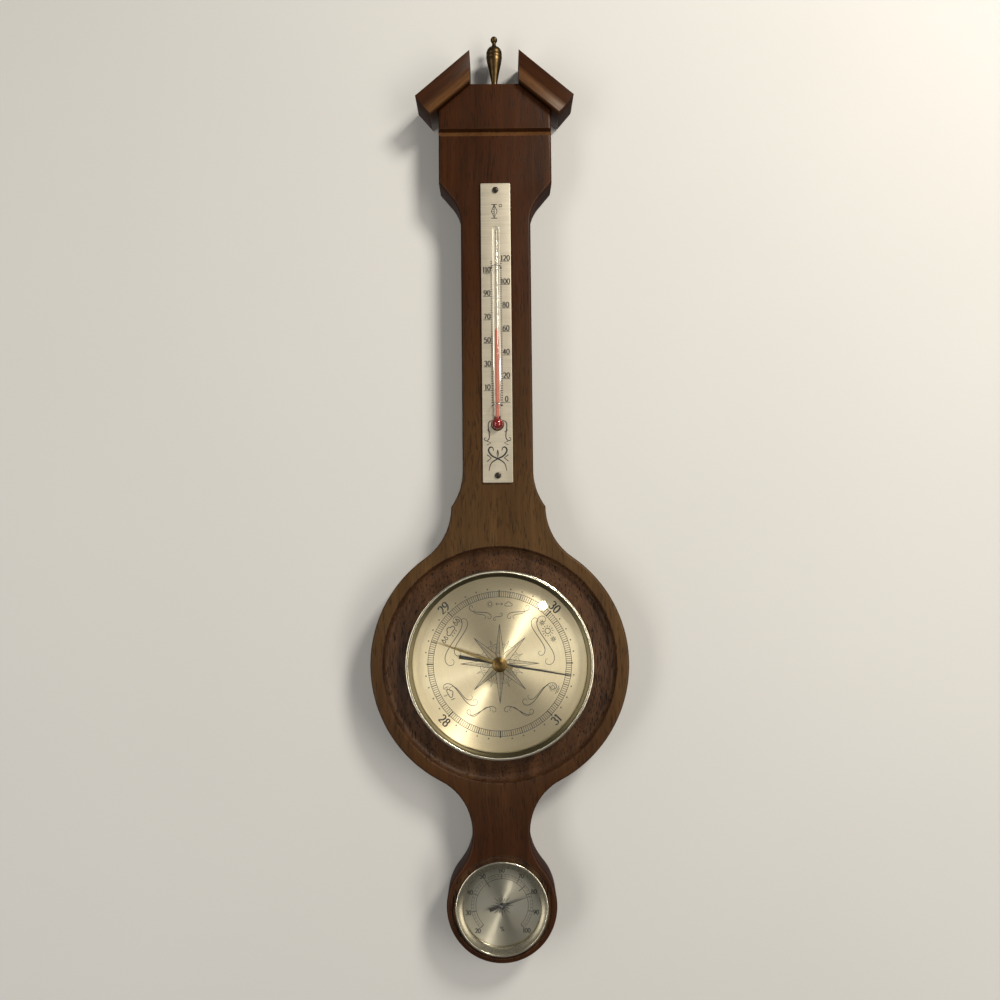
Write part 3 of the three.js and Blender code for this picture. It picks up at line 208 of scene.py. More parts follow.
# %% [markdown]
# ## Effect: worn edges
# Handled edges lose their finish first. The Bevel node gives the normal that a rounded edge would
# have; where it leans away from the true normal, there is an edge. That works on any mesh, also
# on the plain solids that come with the frame, which have no extra loops to hold a mask.

# %% Worn edges


def make_edge_wear():
    inputs = [("Width", VALUE, 0.0006), ("Break up", VALUE, 900.0)]
    tree, given, result = new_group("edge_wear", inputs, [("Mask", VALUE)])
    rounded = node(tree, "ShaderNodeBevel", {"Radius": given["Width"]}, samples=4).outputs[0]
    true_normal = node(tree, "ShaderNodeNewGeometry").outputs["Normal"]
    pair = {0: rounded, 1: true_normal}
    facing = node(tree, "ShaderNodeVectorMath", pair, operation="DOT_PRODUCT").outputs["Value"]
    edge = spread(tree, facing, 0.999, 0.93)
    place = node(tree, "ShaderNodeTexCoord").outputs["Object"]
    patches = spread(tree, noise(tree, place, given["Break up"]), 0.35, 0.6)
    tree.links.new(sums(tree, "MULTIPLY", edge, patches), result["Mask"])


make_edge_wear()
print("edge_wear built")

# %% [markdown]
# ## Effect: wood figure
# The board is a dark, open pored tropical wood. Three things show: slow bands of colour, fine
# streaks along the grain, and pores, which are short dark dashes a quarter of a millimetre wide
# and several long. All three are noise, stretched along the grain by squeezing that coordinate.
# The grain is turned by an input, because each moulding was cut from stock that runs its own way.

# %% Wood figure


def make_wood_figure():
    inputs = [
        ("Turn", VECTOR, (0, 0, 0)),
        ("Dark", COLOUR, (0.03, 0.012, 0.006, 1)),
        ("Pale", COLOUR, (0.12, 0.06, 0.03, 1)),
        ("Pores", VALUE, 0.5),
    ]
    outputs = [("Color", COLOUR), ("Height", VALUE)]
    tree, given, result = new_group("wood_figure", inputs, outputs)
    place = node(tree, "ShaderNodeTexCoord").outputs["Object"]
    turned = node(tree, "ShaderNodeMapping", {"Vector": place, "Rotation": given["Turn"]}).outputs[0]
    wander = sums(tree, "MULTIPLY", noise(tree, turned, 14.0, 2.0), 0.012)
    shift = node(tree, "ShaderNodeCombineXYZ", {"X": wander}).outputs[0]
    bent = node(tree, "ShaderNodeVectorMath", {0: turned, 1: shift}, operation="ADD").outputs[0]

    def along(squeeze):
        return node(tree, "ShaderNodeMapping", {"Vector": bent, "Scale": (1, 1, squeeze)}).outputs[0]

    bands = noise(tree, along(0.05), 110.0, 3.0, 0.6)
    streaks = noise(tree, along(0.03), 900.0, 4.0, 0.65)
    pore_field = noise(tree, along(0.10), 1300.0, 1.5, 0.5)
    crowd = spread(tree, noise(tree, along(0.3), 130.0), 0.35, 0.65, 0.05, -0.03)
    pores = spread(tree, sums(tree, "SUBTRACT", pore_field, crowd), 0.57, 0.66)
    broad, fine = sums(tree, "MULTIPLY", bands, 0.62), sums(tree, "MULTIPLY", streaks, 0.38)
    tone = sums(tree, "ADD", broad, fine)
    ground = blended(tree, spread(tree, tone, 0.34, 0.66), given["Dark"], given["Pale"])
    pored = sums(tree, "MULTIPLY", pores, given["Pores"])
    shaded = blended(tree, pored, ground, (0.006, 0.003, 0.002, 1))
    relief = sums(tree, "SUBTRACT", sums(tree, "MULTIPLY", streaks, 0.25), pored)
    tree.links.new(shaded, result["Color"])
    tree.links.new(relief, result["Height"])


make_wood_figure()
print("wood_figure built")

# %% [markdown]
# ## Effects: spun lines, brushed lines and handling marks
# A spun dial is held in a lathe while an abrasive pad rests on it, so its scratches are circles.
# They are drawn on a UV map that holds the angle across and the radius up: noise that only sees
# the radius is a set of rings. A brushed plate is rubbed one way, so its noise is squeezed along
# one axis. Handling marks are the soft cloudy patches that fingers and polish leave.

# %% Metal surface effects


def make_spun_lines():
    outputs = [("Tone", VALUE), ("Height", VALUE)]
    tree, given, result = new_group("spun_lines", [("Lines", VALUE, 90.0)], outputs)
    polar_map = node(tree, "ShaderNodeUVMap", uv_map="polar").outputs[0]
    parts = node(tree, "ShaderNodeSeparateXYZ", {0: polar_map})
    angle = sums(tree, "MULTIPLY", parts.outputs["X"], math.tau)
    ring = sums(tree, "MULTIPLY", parts.outputs["Y"], given["Lines"])
    around = {"X": sums(tree, "COSINE", angle), "Y": sums(tree, "SINE", angle), "Z": ring}
    rings = node(tree, "ShaderNodeCombineXYZ", around).outputs[0]
    fine = noise(tree, rings, 9.0, 3.0, 0.7)
    broad = noise(tree, rings, 1.2, 2.0)
    both = sums(tree, "ADD", sums(tree, "MULTIPLY", fine, 0.7), sums(tree, "MULTIPLY", broad, 0.3))
    tree.links.new(both, result["Tone"])
    tree.links.new(fine, result["Height"])


def make_brushed_lines():
    inputs = [("Stretch", VECTOR, (1, 1, 0.02)), ("Scale", VALUE, 2500.0)]
    outputs = [("Tone", VALUE), ("Height", VALUE)]
    tree, given, result = new_group("brushed_lines", inputs, outputs)
    place = node(tree, "ShaderNodeTexCoord").outputs["Object"]
    pulled = node(tree, "ShaderNodeMapping", {"Vector": place, "Scale": given["Stretch"]}).outputs[0]
    fine = noise(tree, pulled, given["Scale"], 3.0, 0.6)
    tree.links.new(fine, result["Tone"])
    tree.links.new(fine, result["Height"])


def make_handling():
    tree, given, result = new_group("handling", [("Scale", VALUE, 60.0)], [("Mask", VALUE)])
    place = node(tree, "ShaderNodeTexCoord").outputs["Object"]
    cloud = noise(tree, place, given["Scale"], 5.0, 0.6, 0.4)
    tree.links.new(spread(tree, cloud, 0.42, 0.68), result["Mask"])


make_spun_lines()
make_brushed_lines()
make_handling()
print("groups:", [g.name for g in bpy.data.node_groups])

# %% [markdown]
# ## Finish: lacquered wood
# The maker stained the board and sprayed it with satin lacquer. The board is redder and darker at
# the head and the foot and paler and more olive over the neck, so a ramp along the height mixes
# the two. The lacquer sinks into the pores, which stay as tiny dents and catch less light. Round
# the recess the wood was turned after staining and took a thinner coat, so its pores are open and
# darker. The lower face of the groove and the hollow of each moulding are painted paler: a painted
# highlight for the light that these faces catch. The hollow is found by its place: below a line
# across the slope and close to the front.

# %% Wood finishes
RED_BROWN = (0.052, 0.0165, 0.0042, 1)
RED_SHADE = (0.025, 0.0076, 0.0022, 1)
OLIVE_BROWN = (0.100, 0.053, 0.0185, 1)
OLIVE_SHADE = (0.056, 0.0275, 0.0095, 1)
# Paler wood colours, painted where a face catches light: a painted highlight.
PAINTED_LIT_PALE = (0.145, 0.066, 0.024, 1)
PAINTED_LIT_DARK = (0.070, 0.030, 0.011, 1)
WORN_TO_PALE = (0.12, 0.06, 0.028, 1)
PITCH = 40.5
HOLLOW_TOP = (9, 5)
HOLLOW_DEPTH = (3, 2)
moulding_end = box_mm("pediment_moulding_right")[0].x
moulding_front = box_mm("pediment_moulding_right")[0].y


def rubbed_hollow(tree, place, side):
    """One in the hollow of a moulding, which is painted paler as a painted highlight, and zero on
    its flat.
    """
    across = Vector((side * math.sin(math.radians(PITCH)), 0, math.cos(math.radians(PITCH))))
    foot = across.dot(Vector((side * moulding_end, 0, HEAD_TOP)))
    pair = {0: place, 1: across}
    rise = node(tree, "ShaderNodeVectorMath", pair, operation="DOT_PRODUCT").outputs["Value"]
    low = spread(tree, rise, *[(foot + level) * MM for level in HOLLOW_TOP])
    depth = node(tree, "ShaderNodeSeparateXYZ", {0: place}).outputs["Y"]
    near = spread(tree, depth, *[(moulding_front + level) * MM for level in HOLLOW_DEPTH])
    return sums(tree, "MULTIPLY", low, near)


def lacquered_wood(name, turn=(0, 0, 0), pores=0.5, painted_light=0.0, side=0):
    """Stained wood, its grain turned, painted paler as a painted highlight by a share or in a
    moulding's hollow.
    """
    material, tree, shader = new_finish(
        name, Coat_Weight=0.04, Coat_Roughness=0.25, Specular_IOR_Level=0.15
    )
    place = node(tree, "ShaderNodeTexCoord").outputs["Object"]
    height = node(tree, "ShaderNodeSeparateXYZ", {0: place}).outputs["Z"]
    # Redder and darker at the head and the foot, paler and more olive over the neck.
    below_head = spread(tree, height, -0.07, -0.24)
    above_foot = spread(tree, height, -0.44, -0.30)
    olive = sums(tree, "MULTIPLY", below_head, above_foot)
    dark = blended(tree, olive, RED_SHADE, OLIVE_SHADE)
    pale = blended(tree, olive, RED_BROWN, OLIVE_BROWN)
    # Painted highlight: a share, or the hollow's mask, mixes in the paler colours.
    if side:
        painted_light = rubbed_hollow(tree, place, side)
    dark = blended(tree, painted_light, dark, PAINTED_LIT_DARK)
    pale = blended(tree, painted_light, pale, PAINTED_LIT_PALE)
    inputs = {"Turn": turn, "Dark": dark, "Pale": pale, "Pores": pores}
    figure = effect(tree, "wood_figure", inputs)
    wear = effect(tree, "edge_wear", {"Width": 0.0009, "Break up": 160.0})["Mask"]
    worn = blended(tree, sums(tree, "MULTIPLY", wear, 0.3), figure["Color"], WORN_TO_PALE)
    touched = effect(tree, "handling", {"Scale": 35.0})["Mask"]
    gloss = spread(tree, touched, 0.0, 1.0, 0.40, 0.50)
    wire(tree, shader, worn, gloss, figure["Height"], 0.35, 0.00012)
    return material


def recess_wood():
    material, tree, shader = new_finish("wood_recess", Roughness=0.45, Specular_IOR_Level=0.2)
    inputs = {"Dark": (0.022, 0.008, 0.003, 1), "Pale": (0.092, 0.042, 0.017, 1), "Pores": 1.0}
    figure = effect(tree, "wood_figure", inputs)
    wire(tree, shader, figure["Color"], None, figure["Height"], 0.8, 0.0003)
    return material


wood = lacquered_wood("wood_lacquered")
wood_in_recess = recess_wood()
# The groove's lower face is painted paler: a painted highlight.
groove_wood_painted_lit = lacquered_wood("wood_groove_painted_lit", pores=0.3, painted_light=0.8)
# Each moulding's hollow is painted paler: a painted highlight.
slope_woods = {}
for side, word in ((-1, "left"), (1, "right")):
    along_slope = (0, math.radians(side * (90 - PITCH)), 0)
    slope_woods[side] = lacquered_wood(f"wood_moulding_painted_hollow_light_{word}", along_slope, 0.3, side=side)
print("wood finishes:", [m.name for m in bpy.data.materials if m.name.startswith("wood")])

# %% [markdown]
# ## Finish: brass in four states
# Brass shows in four states here. The rims are pale champagne brass, nearly silver, and polished.
# The cones inside them are painted dark and satin: painted shade, for they are the same spun
# brass as the rims. The dials and the scale plate are champagne too, but spun or brushed to a
# satin that spreads light one way only. The finial has never been polished again and has gone
# brown in its grooves.

# %% Brass finishes


def pale_brass(name, colour, roughness, stretch):
    material, tree, shader = new_finish(name, Metallic=1.0)
    lines = effect(tree, "brushed_lines", {"Stretch": stretch})
    touched = effect(tree, "handling", {"Scale": 90.0})["Mask"]
    shade = tuple(0.82 * c for c in colour[:3]) + (1,)
    base = blended(tree, sums(tree, "MULTIPLY", touched, 0.6), colour, shade)
    gloss = spread(tree, lines["Tone"], 0.3, 0.7, roughness * 0.8, roughness * 1.25)
    wire(tree, shader, base, gloss, lines["Height"], 0.08, 0.00002)
    return material


def satin_dial(name, colour, smooth, rough):
    material, tree, shader = new_finish(
        name, Metallic=1.0, Anisotropic=1.0, Anisotropic_Rotation=0.25
    )
    lines = effect(tree, "spun_lines", {"Lines": 60.0})
    shade = tuple(0.86 * c for c in colour[:3]) + (1,)
    base = blended(tree, spread(tree, lines["Tone"], 0.35, 0.65), shade, colour)
    gloss = spread(tree, lines["Tone"], 0.3, 0.7, smooth, rough)
    wire(tree, shader, base, gloss, lines["Height"], 0.10, 0.00002)
    tangent = node(tree, "ShaderNodeTangent", direction_type="UV_MAP", uv_map="polar")
    tree.links.new(tangent.outputs[0], shader.inputs["Tangent"])
    return material


def brushed_plate(name, colour):
    material, tree, shader = new_finish(name, Metallic=0.55)
    lines = effect(tree, "brushed_lines", {"Stretch": (0.02, 1, 1), "Scale": 2200.0})
    touched = effect(tree, "handling", {"Scale": 45.0})["Mask"]
    shade = tuple(0.85 * c for c in colour[:3]) + (1,)
    streaked = blended(tree, spread(tree, lines["Tone"], 0.3, 0.7), shade, colour)
    aged = blended(tree, sums(tree, "MULTIPLY", touched, 0.25), streaked, (0.40, 0.35, 0.26, 1))
    gloss = spread(tree, lines["Tone"], 0.3, 0.7, 0.42, 0.54)
    wire(tree, shader, aged, gloss, lines["Height"], 0.12, 0.00002)
    return material


def aged_brass(name, bright, brown, roughness=0.3):
    material, tree, shader = new_finish(name, Metallic=1.0)
    place = node(tree, "ShaderNodeTexCoord").outputs["Object"]
    cloud = spread(tree, noise(tree, place, 260.0, 4.0, 0.55, 0.3), 0.2, 0.75)
    wear = effect(tree, "edge_wear", {"Width": 0.0005, "Break up": 500.0})["Mask"]
    tarnish = sums(tree, "MULTIPLY", cloud, sums(tree, "SUBTRACT", 1.0, wear))
    base = blended(tree, tarnish, bright, brown)
    gloss = spread(tree, tarnish, 0.0, 1.0, roughness * 0.8, roughness * 1.3)
    wire(tree, shader, base, gloss, cloud, 0.05, 0.00002)
    return material


rim_brass = pale_brass("brass_rim", (0.82, 0.77, 0.62, 1), 0.16, (1, 1, 1))
# The cones are painted darker than the rims: painted shade on the same spun brass.
painted_shade_cone_brass = pale_brass("brass_cone_painted_shade", (0.11, 0.094, 0.052, 1), 0.34, (1, 1, 1))
painted_shade_grey_cone = pale_brass("brass_painted_shade_grey_cone", (0.40, 0.37, 0.28, 1), 0.28, (1, 1, 1))
dial_satin = satin_dial("brass_spun_dial", (0.86, 0.76, 0.55, 1), 0.46, 0.53)
small_dial_satin = satin_dial("brass_spun_small_dial", (0.44, 0.42, 0.36, 1), 0.56, 0.60)
plate_satin = brushed_plate("brass_scale_plate", (0.66, 0.61, 0.50, 1))
finial_brass = aged_brass("brass_finial", (0.17, 0.11, 0.045, 1), (0.05, 0.032, 0.015, 1), 0.36)
knob_brass = aged_brass("brass_knob", (0.25, 0.165, 0.06, 1), (0.11, 0.068, 0.024, 1), 0.36)
hand_brass = aged_brass("brass_hand", (0.46, 0.36, 0.16, 1), (0.28, 0.21, 0.085, 1), 0.34)
works_brass = aged_brass("brass_works", (0.62, 0.46, 0.20, 1), (0.46, 0.32, 0.13, 1), 0.3)
print("brass finishes built")

# %% [markdown]
# ## Finish: the small things
# Ink and paint are nearly black but never flat: their gloss wanders a little. Glass is clear with
# a faint ripple, and it casts no shadow, because a thin pane in daylight dims what is behind it
# by a tenth at most. The spirit is a strong red dye: nearly black red where it lies thick in the
# bulb, and salmon where the thread of it is thin, so its colour changes at the bulb's neck.

# %% Ink, paint, glass, spirit, steel, tin and rubber
SPIRIT_NECK_Z = box_mm("thermometer_tube")[0].z + 7.4


def painted(name, colour, roughness, scale=900.0, metallic=0.0, lift=1.7):
    material, tree, shader = new_finish(name, Metallic=metallic)
    place = node(tree, "ShaderNodeTexCoord").outputs["Object"]
    grain = noise(tree, place, scale, 4.0, 0.6)
    lifted = tuple(lift * c + 0.002 for c in colour[:3]) + (1,)
    base = blended(tree, spread(tree, grain, 0.35, 0.7), colour, lifted)
    gloss = spread(tree, grain, 0.3, 0.7, roughness * 0.85, roughness * 1.2)
    wire(tree, shader, base, gloss, grain, 0.1, 0.00002)
    return material


def clear_glass(name, scale, tint):
    material, tree, shader = new_finish(name, Base_Color=tint, Transmission_Weight=1.0, IOR=1.47)
    place = node(tree, "ShaderNodeTexCoord").outputs["Object"]
    ripple = noise(tree, place, scale, 1.0)
    smears = spread(tree, noise(tree, place, 70.0, 5.0, 0.6), 0.5, 0.8, 0.0, 0.03)
    wire(tree, shader, None, smears, ripple, 0.02, 0.0001)
    return material


def dyed_spirit(name):
    material, tree, shader = new_finish(name, Coat_Weight=0.5, Coat_Roughness=0.03)
    place = node(tree, "ShaderNodeTexCoord").outputs["Object"]
    height = node(tree, "ShaderNodeSeparateXYZ", {0: place}).outputs["Z"]
    in_thread = spread(tree, height, SPIRIT_NECK_Z * MM, (SPIRIT_NECK_Z + 2) * MM)
    cloud = noise(tree, place, 500.0, 2.0)
    deep = blended(tree, cloud, (0.19, 0.004, 0.006, 1), (0.27, 0.008, 0.010, 1))
    thin = blended(tree, cloud, (0.52, 0.13, 0.085, 1), (0.60, 0.17, 0.11, 1))
    base = blended(tree, in_thread, deep, thin)
    gloss = spread(tree, cloud, 0.3, 0.7, 0.12, 0.2)
    wire(tree, shader, base, gloss)
    return material


ink_black = painted("ink_black", (0.012, 0.011, 0.010, 1), 0.5, 2500.0)
hand_black = painted("paint_black", (0.012, 0.011, 0.011, 1), 0.34)
screw_black = painted("steel_blackened", (0.022, 0.018, 0.014, 1), 0.36, 700.0, 0.5)
steel_plain = painted("steel_plain", (0.46, 0.46, 0.45, 1), 0.3, 400.0, 1.0, 1.15)
tin_plain = painted("tin_pressed", (0.55, 0.53, 0.48, 1), 0.38, 90.0, 1.0, 1.1)
rubber_black = painted("rubber_black", (0.018, 0.018, 0.018, 1), 0.75, 1500.0)
crystal_glass = clear_glass("glass_crystal", 25.0, (0.97, 0.985, 0.975, 1))
tube_glass = clear_glass("glass_tube", 180.0, (0.86, 0.87, 0.86, 1))
spirit_red = dyed_spirit("spirit_red")
print(f"{len(bpy.data.materials)} materials")

# %% [markdown]
# ## Mesh helpers
# Nearly every piece is one of three kinds. Turned pieces start as a profile that is spun about
# an axis. Flat pieces start as an outline that becomes a face and is pushed out. Printed lines
# start as curves. The helpers end by merging doubled points and turning all faces outwards,
# because spinning and mirroring can leave a mesh inside out.

# %% Helpers that shape meshes


def polar(radius, degrees):
    return radius * math.cos(math.radians(degrees)), radius * math.sin(math.radians(degrees))


def arc(x, z, radius, start, stop, step=3.0):
    steps = max(2, math.ceil(abs(stop - start) / step))
    turns = [start + (stop - start) * i / steps for i in range(steps + 1)]
    return [(x + polar(radius, t)[0], z + polar(radius, t)[1]) for t in turns]


def tidy(bm):
    bmesh.ops.remove_doubles(bm, verts=bm.verts, dist=1e-4)
    bmesh.ops.dissolve_degenerate(bm, edges=bm.edges, dist=1e-5)
    bmesh.ops.recalc_face_normals(bm, faces=bm.faces)
    return bm


def lathe(profile, centre, steps=128, upright_y=None):
    """Spins (radius, y) points about a line along Y, or (radius, z) points about an upright line."""
    bm = bmesh.new()
    x, z = centre
    if upright_y is None:
        ring = [bm.verts.new((x + r, level, z)) for r, level in profile]
        axis, middle = (0, 1, 0), (x, 0, z)
    else:
        ring = [bm.verts.new((x + r, upright_y, level)) for r, level in profile]
        axis, middle = (0, 0, 1), (x, upright_y, 0)
    edges = [bm.edges.new(pair) for pair in zip(ring, ring[1:])]
    if profile[0][0] > 0 or profile[-1][0] > 0:
        edges.append(bm.edges.new((ring[-1], ring[0])))
    bmesh.ops.spin(
        bm, geom=ring + edges, cent=middle, axis=axis, angle=math.tau, steps=steps, use_merge=True
    )
    return tidy(bm)


def slab(outline, y_back, y_front):
    """A flat piece: (x, z) points made a face and pushed from y_back to y_front."""
    bm = bmesh.new()
    face = bm.faces.new([bm.verts.new((x, y_back, z)) for x, z in outline])
    pushed = bmesh.ops.extrude_face_region(bm, geom=[face])["geom"]
    front = [v for v in pushed if isinstance(v, bmesh.types.BMVert)]
    bmesh.ops.translate(bm, vec=(0, y_front - y_back, 0), verts=front)
    return tidy(bm)


def soften(bm, width, segments=2, over=25.0, where=None):
    """Rounds the edges that turn by more than an angle, all or those that where() picks."""
    sharp = [
        e
        for e in bm.edges
        if e.is_manifold and e.calc_face_angle() > math.radians(over) and (where is None or where(e))
    ]
    bmesh.ops.bevel(
        bm,
        geom=sharp,
        offset=width,
        offset_type="OFFSET",
        segments=segments,
        profile=0.5,
        affect="EDGES",
        clamp_overlap=True,
        material=-1,
    )
    return bm


def absorb(bm, other):
    """Adds another mesh to this one."""
    carrier = bpy.data.meshes.new("carrier")
    other.to_mesh(carrier)
    other.free()
    bm.from_mesh(carrier)
    bpy.data.meshes.remove(carrier)
    return bm


def stand_in(bm, name, materials=()):
    mesh = bpy.data.meshes.new(name)
    bm.to_mesh(mesh)
    bm.free()
    for material in materials:
        mesh.materials.append(material)
    made = bpy.data.objects.new(name, mesh)
    bpy.context.scene.collection.objects.link(made)
    return made


def carve(bm, cutters, materials):
    """Cuts meshes out of a mesh. Cut faces keep the cutter's material index."""
    block = stand_in(bm, "block", materials)
    tools = [stand_in(cutter, "tool", materials) for cutter in cutters]
    for tool in tools:
        modifier = block.modifiers.new("cut", "BOOLEAN")
        modifier.operation = "DIFFERENCE"
        modifier.solver = "EXACT"
        modifier.object = tool
    carved = bmesh.new()
    carved.from_object(block, bpy.context.evaluated_depsgraph_get())
    for spent in [block, *tools]:
        mesh = spent.data
        bpy.data.objects.remove(spent)
        bpy.data.meshes.remove(mesh)
    return carved


def add_piece(bm, name, finishes, body="body", stands_for=(), smooth=32.0):
    bmesh.ops.scale(bm, vec=(MM, MM, MM), verts=bm.verts)
    mesh = bpy.data.meshes.new(name)
    bm.to_mesh(mesh)
    bm.free()
    for finish in finishes:
        mesh.materials.append(finish)
    mesh.shade_smooth()
    mesh.set_sharp_from_angle(angle=math.radians(smooth))
    made = bpy.data.objects.new(name, mesh)
    bpy.context.scene.collection.objects.link(made)
    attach(made, body)
    if stands_for:
        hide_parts(*stands_for)
    print(f"{name}: {len(mesh.polygons)} faces")
    return made


print("mesh helpers ready")

# %% [markdown]
# ## The board
# The board is sawn from one plank. Its outline is half drawn, in straight runs and arcs that
# touch each other smoothly, and then mirrored. A face made from that outline is pushed to the
# front, and the front edge is rounded before anything is cut, while the mesh is still simple.
# Centres of the two waist arcs aren't typed in: each is where an arc can touch both lobes.

# %% Draw half the outline
HEAD_HALF = 39.0
TOP_HALF = 17.0
NECK_HALF = 24.0
UPPER_COVE = {"radius": 28.0, "foot": -23.5, "turn": 40.0}
LOWER_COVE = {"radius": 42.0, "turn": 36.0}
FLARE_R = 42.0
WAIST_R = 38.0
EDGE_ROUND = 1.8
small_lobe_r = HYGROMETER[1] - board_low.z


def board_side():
    slope_foot = HEAD_TOP - (HEAD_HALF - TOP_HALF) * math.tan(math.radians(PITCH))
    radius, turn = UPPER_COVE["radius"], UPPER_COVE["turn"]
    cove = arc(NECK_HALF + radius, UPPER_COVE["foot"], radius, 180 - turn, 180)
    corner = cove[0][1] + (HEAD_HALF - cove[0][0]) / math.tan(math.radians(turn))

    lobe_z = BAROMETER[1]
    radius, turn = LOWER_COVE["radius"], LOWER_COVE["turn"]
    shoulder = NECK_HALF + radius * (1 - math.cos(math.radians(turn)))
    flare_x = shoulder + FLARE_R
    rise = math.sqrt((LOBE_R + FLARE_R) ** 2 - flare_x**2)
    flare_turn = math.degrees(math.atan2(rise, flare_x))
    lower_z = lobe_z + rise + radius * math.sin(math.radians(turn))

    spacing = lobe_z - HYGROMETER[1]
    to_lobe = LOBE_R + WAIST_R
    to_small = small_lobe_r + WAIST_R
    drop = (to_lobe**2 - to_small**2 + spacing**2) / (2 * spacing)
    waist_x = math.sqrt(to_lobe**2 - drop**2)
    waist_turn = math.degrees(math.atan2(drop, waist_x))
    small_turn = math.degrees(math.atan2(spacing - drop, waist_x))
    return [
        (TOP_HALF, HEAD_TOP),
        (HEAD_HALF, slope_foot),
        (HEAD_HALF, corner),
        *cove,
        *arc(NECK_HALF + radius, lower_z, radius, 180, 180 + turn),
        *arc(flare_x, lobe_z + rise, FLARE_R, 180, 180 + flare_turn)[1:-1],
        *arc(0, lobe_z, LOBE_R, flare_turn, -waist_turn, 2),
        *arc(waist_x, lobe_z - drop, WAIST_R, 180 - waist_turn, 180 + small_turn)[1:-1],
        *arc(0, HYGROMETER[1], small_lobe_r, small_turn, -90),
    ]


right_side = board_side()
outline = right_side + [(-x, z) for x, z in reversed(right_side[:-1])]
print(f"board outline of {len(outline)} points")

# %% [markdown]
# The recesses, bores, groove and holes are cut with Boolean modifiers, as a router would do it.
# The large recess has a lip that is eased by half a millimetre, a coved wall and a floor that
# rises towards the bezel. Cutters for the recess carry the second material, so the wood that
# they lay bare gets the open pored finish without any picking of faces afterwards. The lower face
# of the groove's cutter carries the third one, which is painted paler: a painted highlight for the
# light that this upward face catches.

# %% Make the cutters
LAND_DEPTH = 1.0
RECESS_R = 78.5
RECESS_COVE = 5.0
RECESS_LIP = 0.7
SMALL_RECESS_R = 33.0
PAN_ROOM = 1.7
LAND_MARGIN = 1.5
GROOVE = {"z": 41.3, "depth": 2.5, "above": 1.4, "below": 3.9}
PIN_HOLE_R = 1.3
NAIL_ROOM = {"half": 5.8, "foot": 16.2, "top": 34.5}
PROUD = 1.0


def bore_profile(kind):
    bore = radius_mm(f"{kind}_grip_ring") + CLEAR
    counter = radius_mm(f"{kind}_dial") + PAN_ROOM
    step = box_mm(f"{kind}_dial")[1].y + PAN_ROOM
    land = FACE + LAND_DEPTH
    return [(0, PROUD), (bore, PROUD), (bore, step), (counter, step), (counter, land)]


def lip(radius):
    quarter = arc(radius + RECESS_LIP, FACE + RECESS_LIP, RECESS_LIP, 180, 270, 22.5)
    return [*quarter, (radius + RECESS_LIP, FACE - PROUD), (0, FACE - PROUD)]


def recess_cutters():
    land = FACE + LAND_DEPTH
    land_r = radius_mm("barometer_bezel") + LAND_MARGIN
    cove = arc(RECESS_R - RECESS_COVE, FACE, RECESS_COVE, 90, 15, 7.5)
    wide = [*bore_profile("barometer"), (land_r, land), *cove, *lip(RECESS_R)]
    narrow = [*bore_profile("hygrometer"), (SMALL_RECESS_R, land), *lip(SMALL_RECESS_R)]
    cutters = [lathe(wide, BAROMETER, 160), lathe(narrow, HYGROMETER, 112)]
    for cutter in cutters:
        for face in cutter.faces:
            face.material_index = 1
    return cutters


def groove_cutter():
    far = 2 * HEAD_HALF
    section = [
        (FACE + GROOVE["depth"], GROOVE["z"]),
        (FACE, GROOVE["z"] + GROOVE["above"]),
        (FACE - PROUD, GROOVE["z"] + GROOVE["above"]),
        (FACE - PROUD, GROOVE["z"] - GROOVE["below"]),
        (FACE, GROOVE["z"] - GROOVE["below"]),
    ]
    bm = bmesh.new()
    face = bm.faces.new([bm.verts.new((-far, y, z)) for y, z in section])
    pushed = bmesh.ops.extrude_face_region(bm, geom=[face])["geom"]
    ends = [v for v in pushed if isinstance(v, bmesh.types.BMVert)]
    bmesh.ops.translate(bm, vec=(2 * far, 0, 0), verts=ends)
    # Faces below the groove's middle get the third material, painted paler: a painted highlight.
    for face in bm.faces:
        if face.calc_center_median().z < GROOVE["z"]:
            face.material_index = 2
    return tidy(bm)


def block_cutter(low, high):
    bm = bmesh.new()
    bmesh.ops.create_cube(bm, size=1.0)
    size = Vector(high) - Vector(low)
    bmesh.ops.scale(bm, vec=size, verts=bm.verts)
    bmesh.ops.translate(bm, vec=(Vector(high) + Vector(low)) / 2, verts=bm.verts)
    return bm


def fixing_cutters():
    cutters = []
    for name in ("plate_screw_upper", "plate_screw_lower"):
        back, front = box_mm(name)[1].y + PROUD, FACE - PROUD
        drill = [(0, back), (PIN_HOLE_R, back), (PIN_HOLE_R, front), (0, front)]
        cutters.append(lathe(drill, centre_mm(name), 16))
    hanger_low, hanger_high = box_mm("keyhole_plate")
    low = (hanger_low.x - CLEAR, hanger_low.y - CLEAR, hanger_low.z - CLEAR)
    cutters.append(block_cutter(low, (hanger_high.x + CLEAR, PROUD, hanger_high.z + CLEAR)))
    pocket_low = frame["record"]["physics"]["openings"][0]["box_m"][0]
    low = (-NAIL_ROOM["half"], pocket_low[1] / MM - CLEAR, NAIL_ROOM["foot"])
    cutters.append(block_cutter(low, (NAIL_ROOM["half"], PROUD, NAIL_ROOM["top"])))
    return cutters


print("cutters ready")

# %% Cut the board


def on_front(edge):
    return all(abs(v.co.y - FACE) < 1e-4 for v in edge.verts)


board = slab(outline, BACK, FACE)
soften(board, EDGE_ROUND, 5, 25.0, on_front)
woods = [wood, wood_in_recess, groove_wood_painted_lit]
board = carve(board, [*recess_cutters(), groove_cutter(), *fixing_cutters()], woods)
add_piece(board, "board", woods, stands_for=["backboard"], smooth=28.0)

# %% [markdown]
# ## The pediment
# Each moulding is a length of planed stock, glued to a slope of the head and sawn plumb where the
# finial stands. The stock is modelled lying along X with its real section, turned to the slope,
# and cut by a plane with bisect_plane, as the saw does. Its arrises are eased by a quarter of a
# millimetre, which gives the thin light line along each edge.

# %% Saw and fit the mouldings
MOULD_H = 16.0
MOULD_HOLLOW = 1.7
MOULD_OVERHANG = 5.2


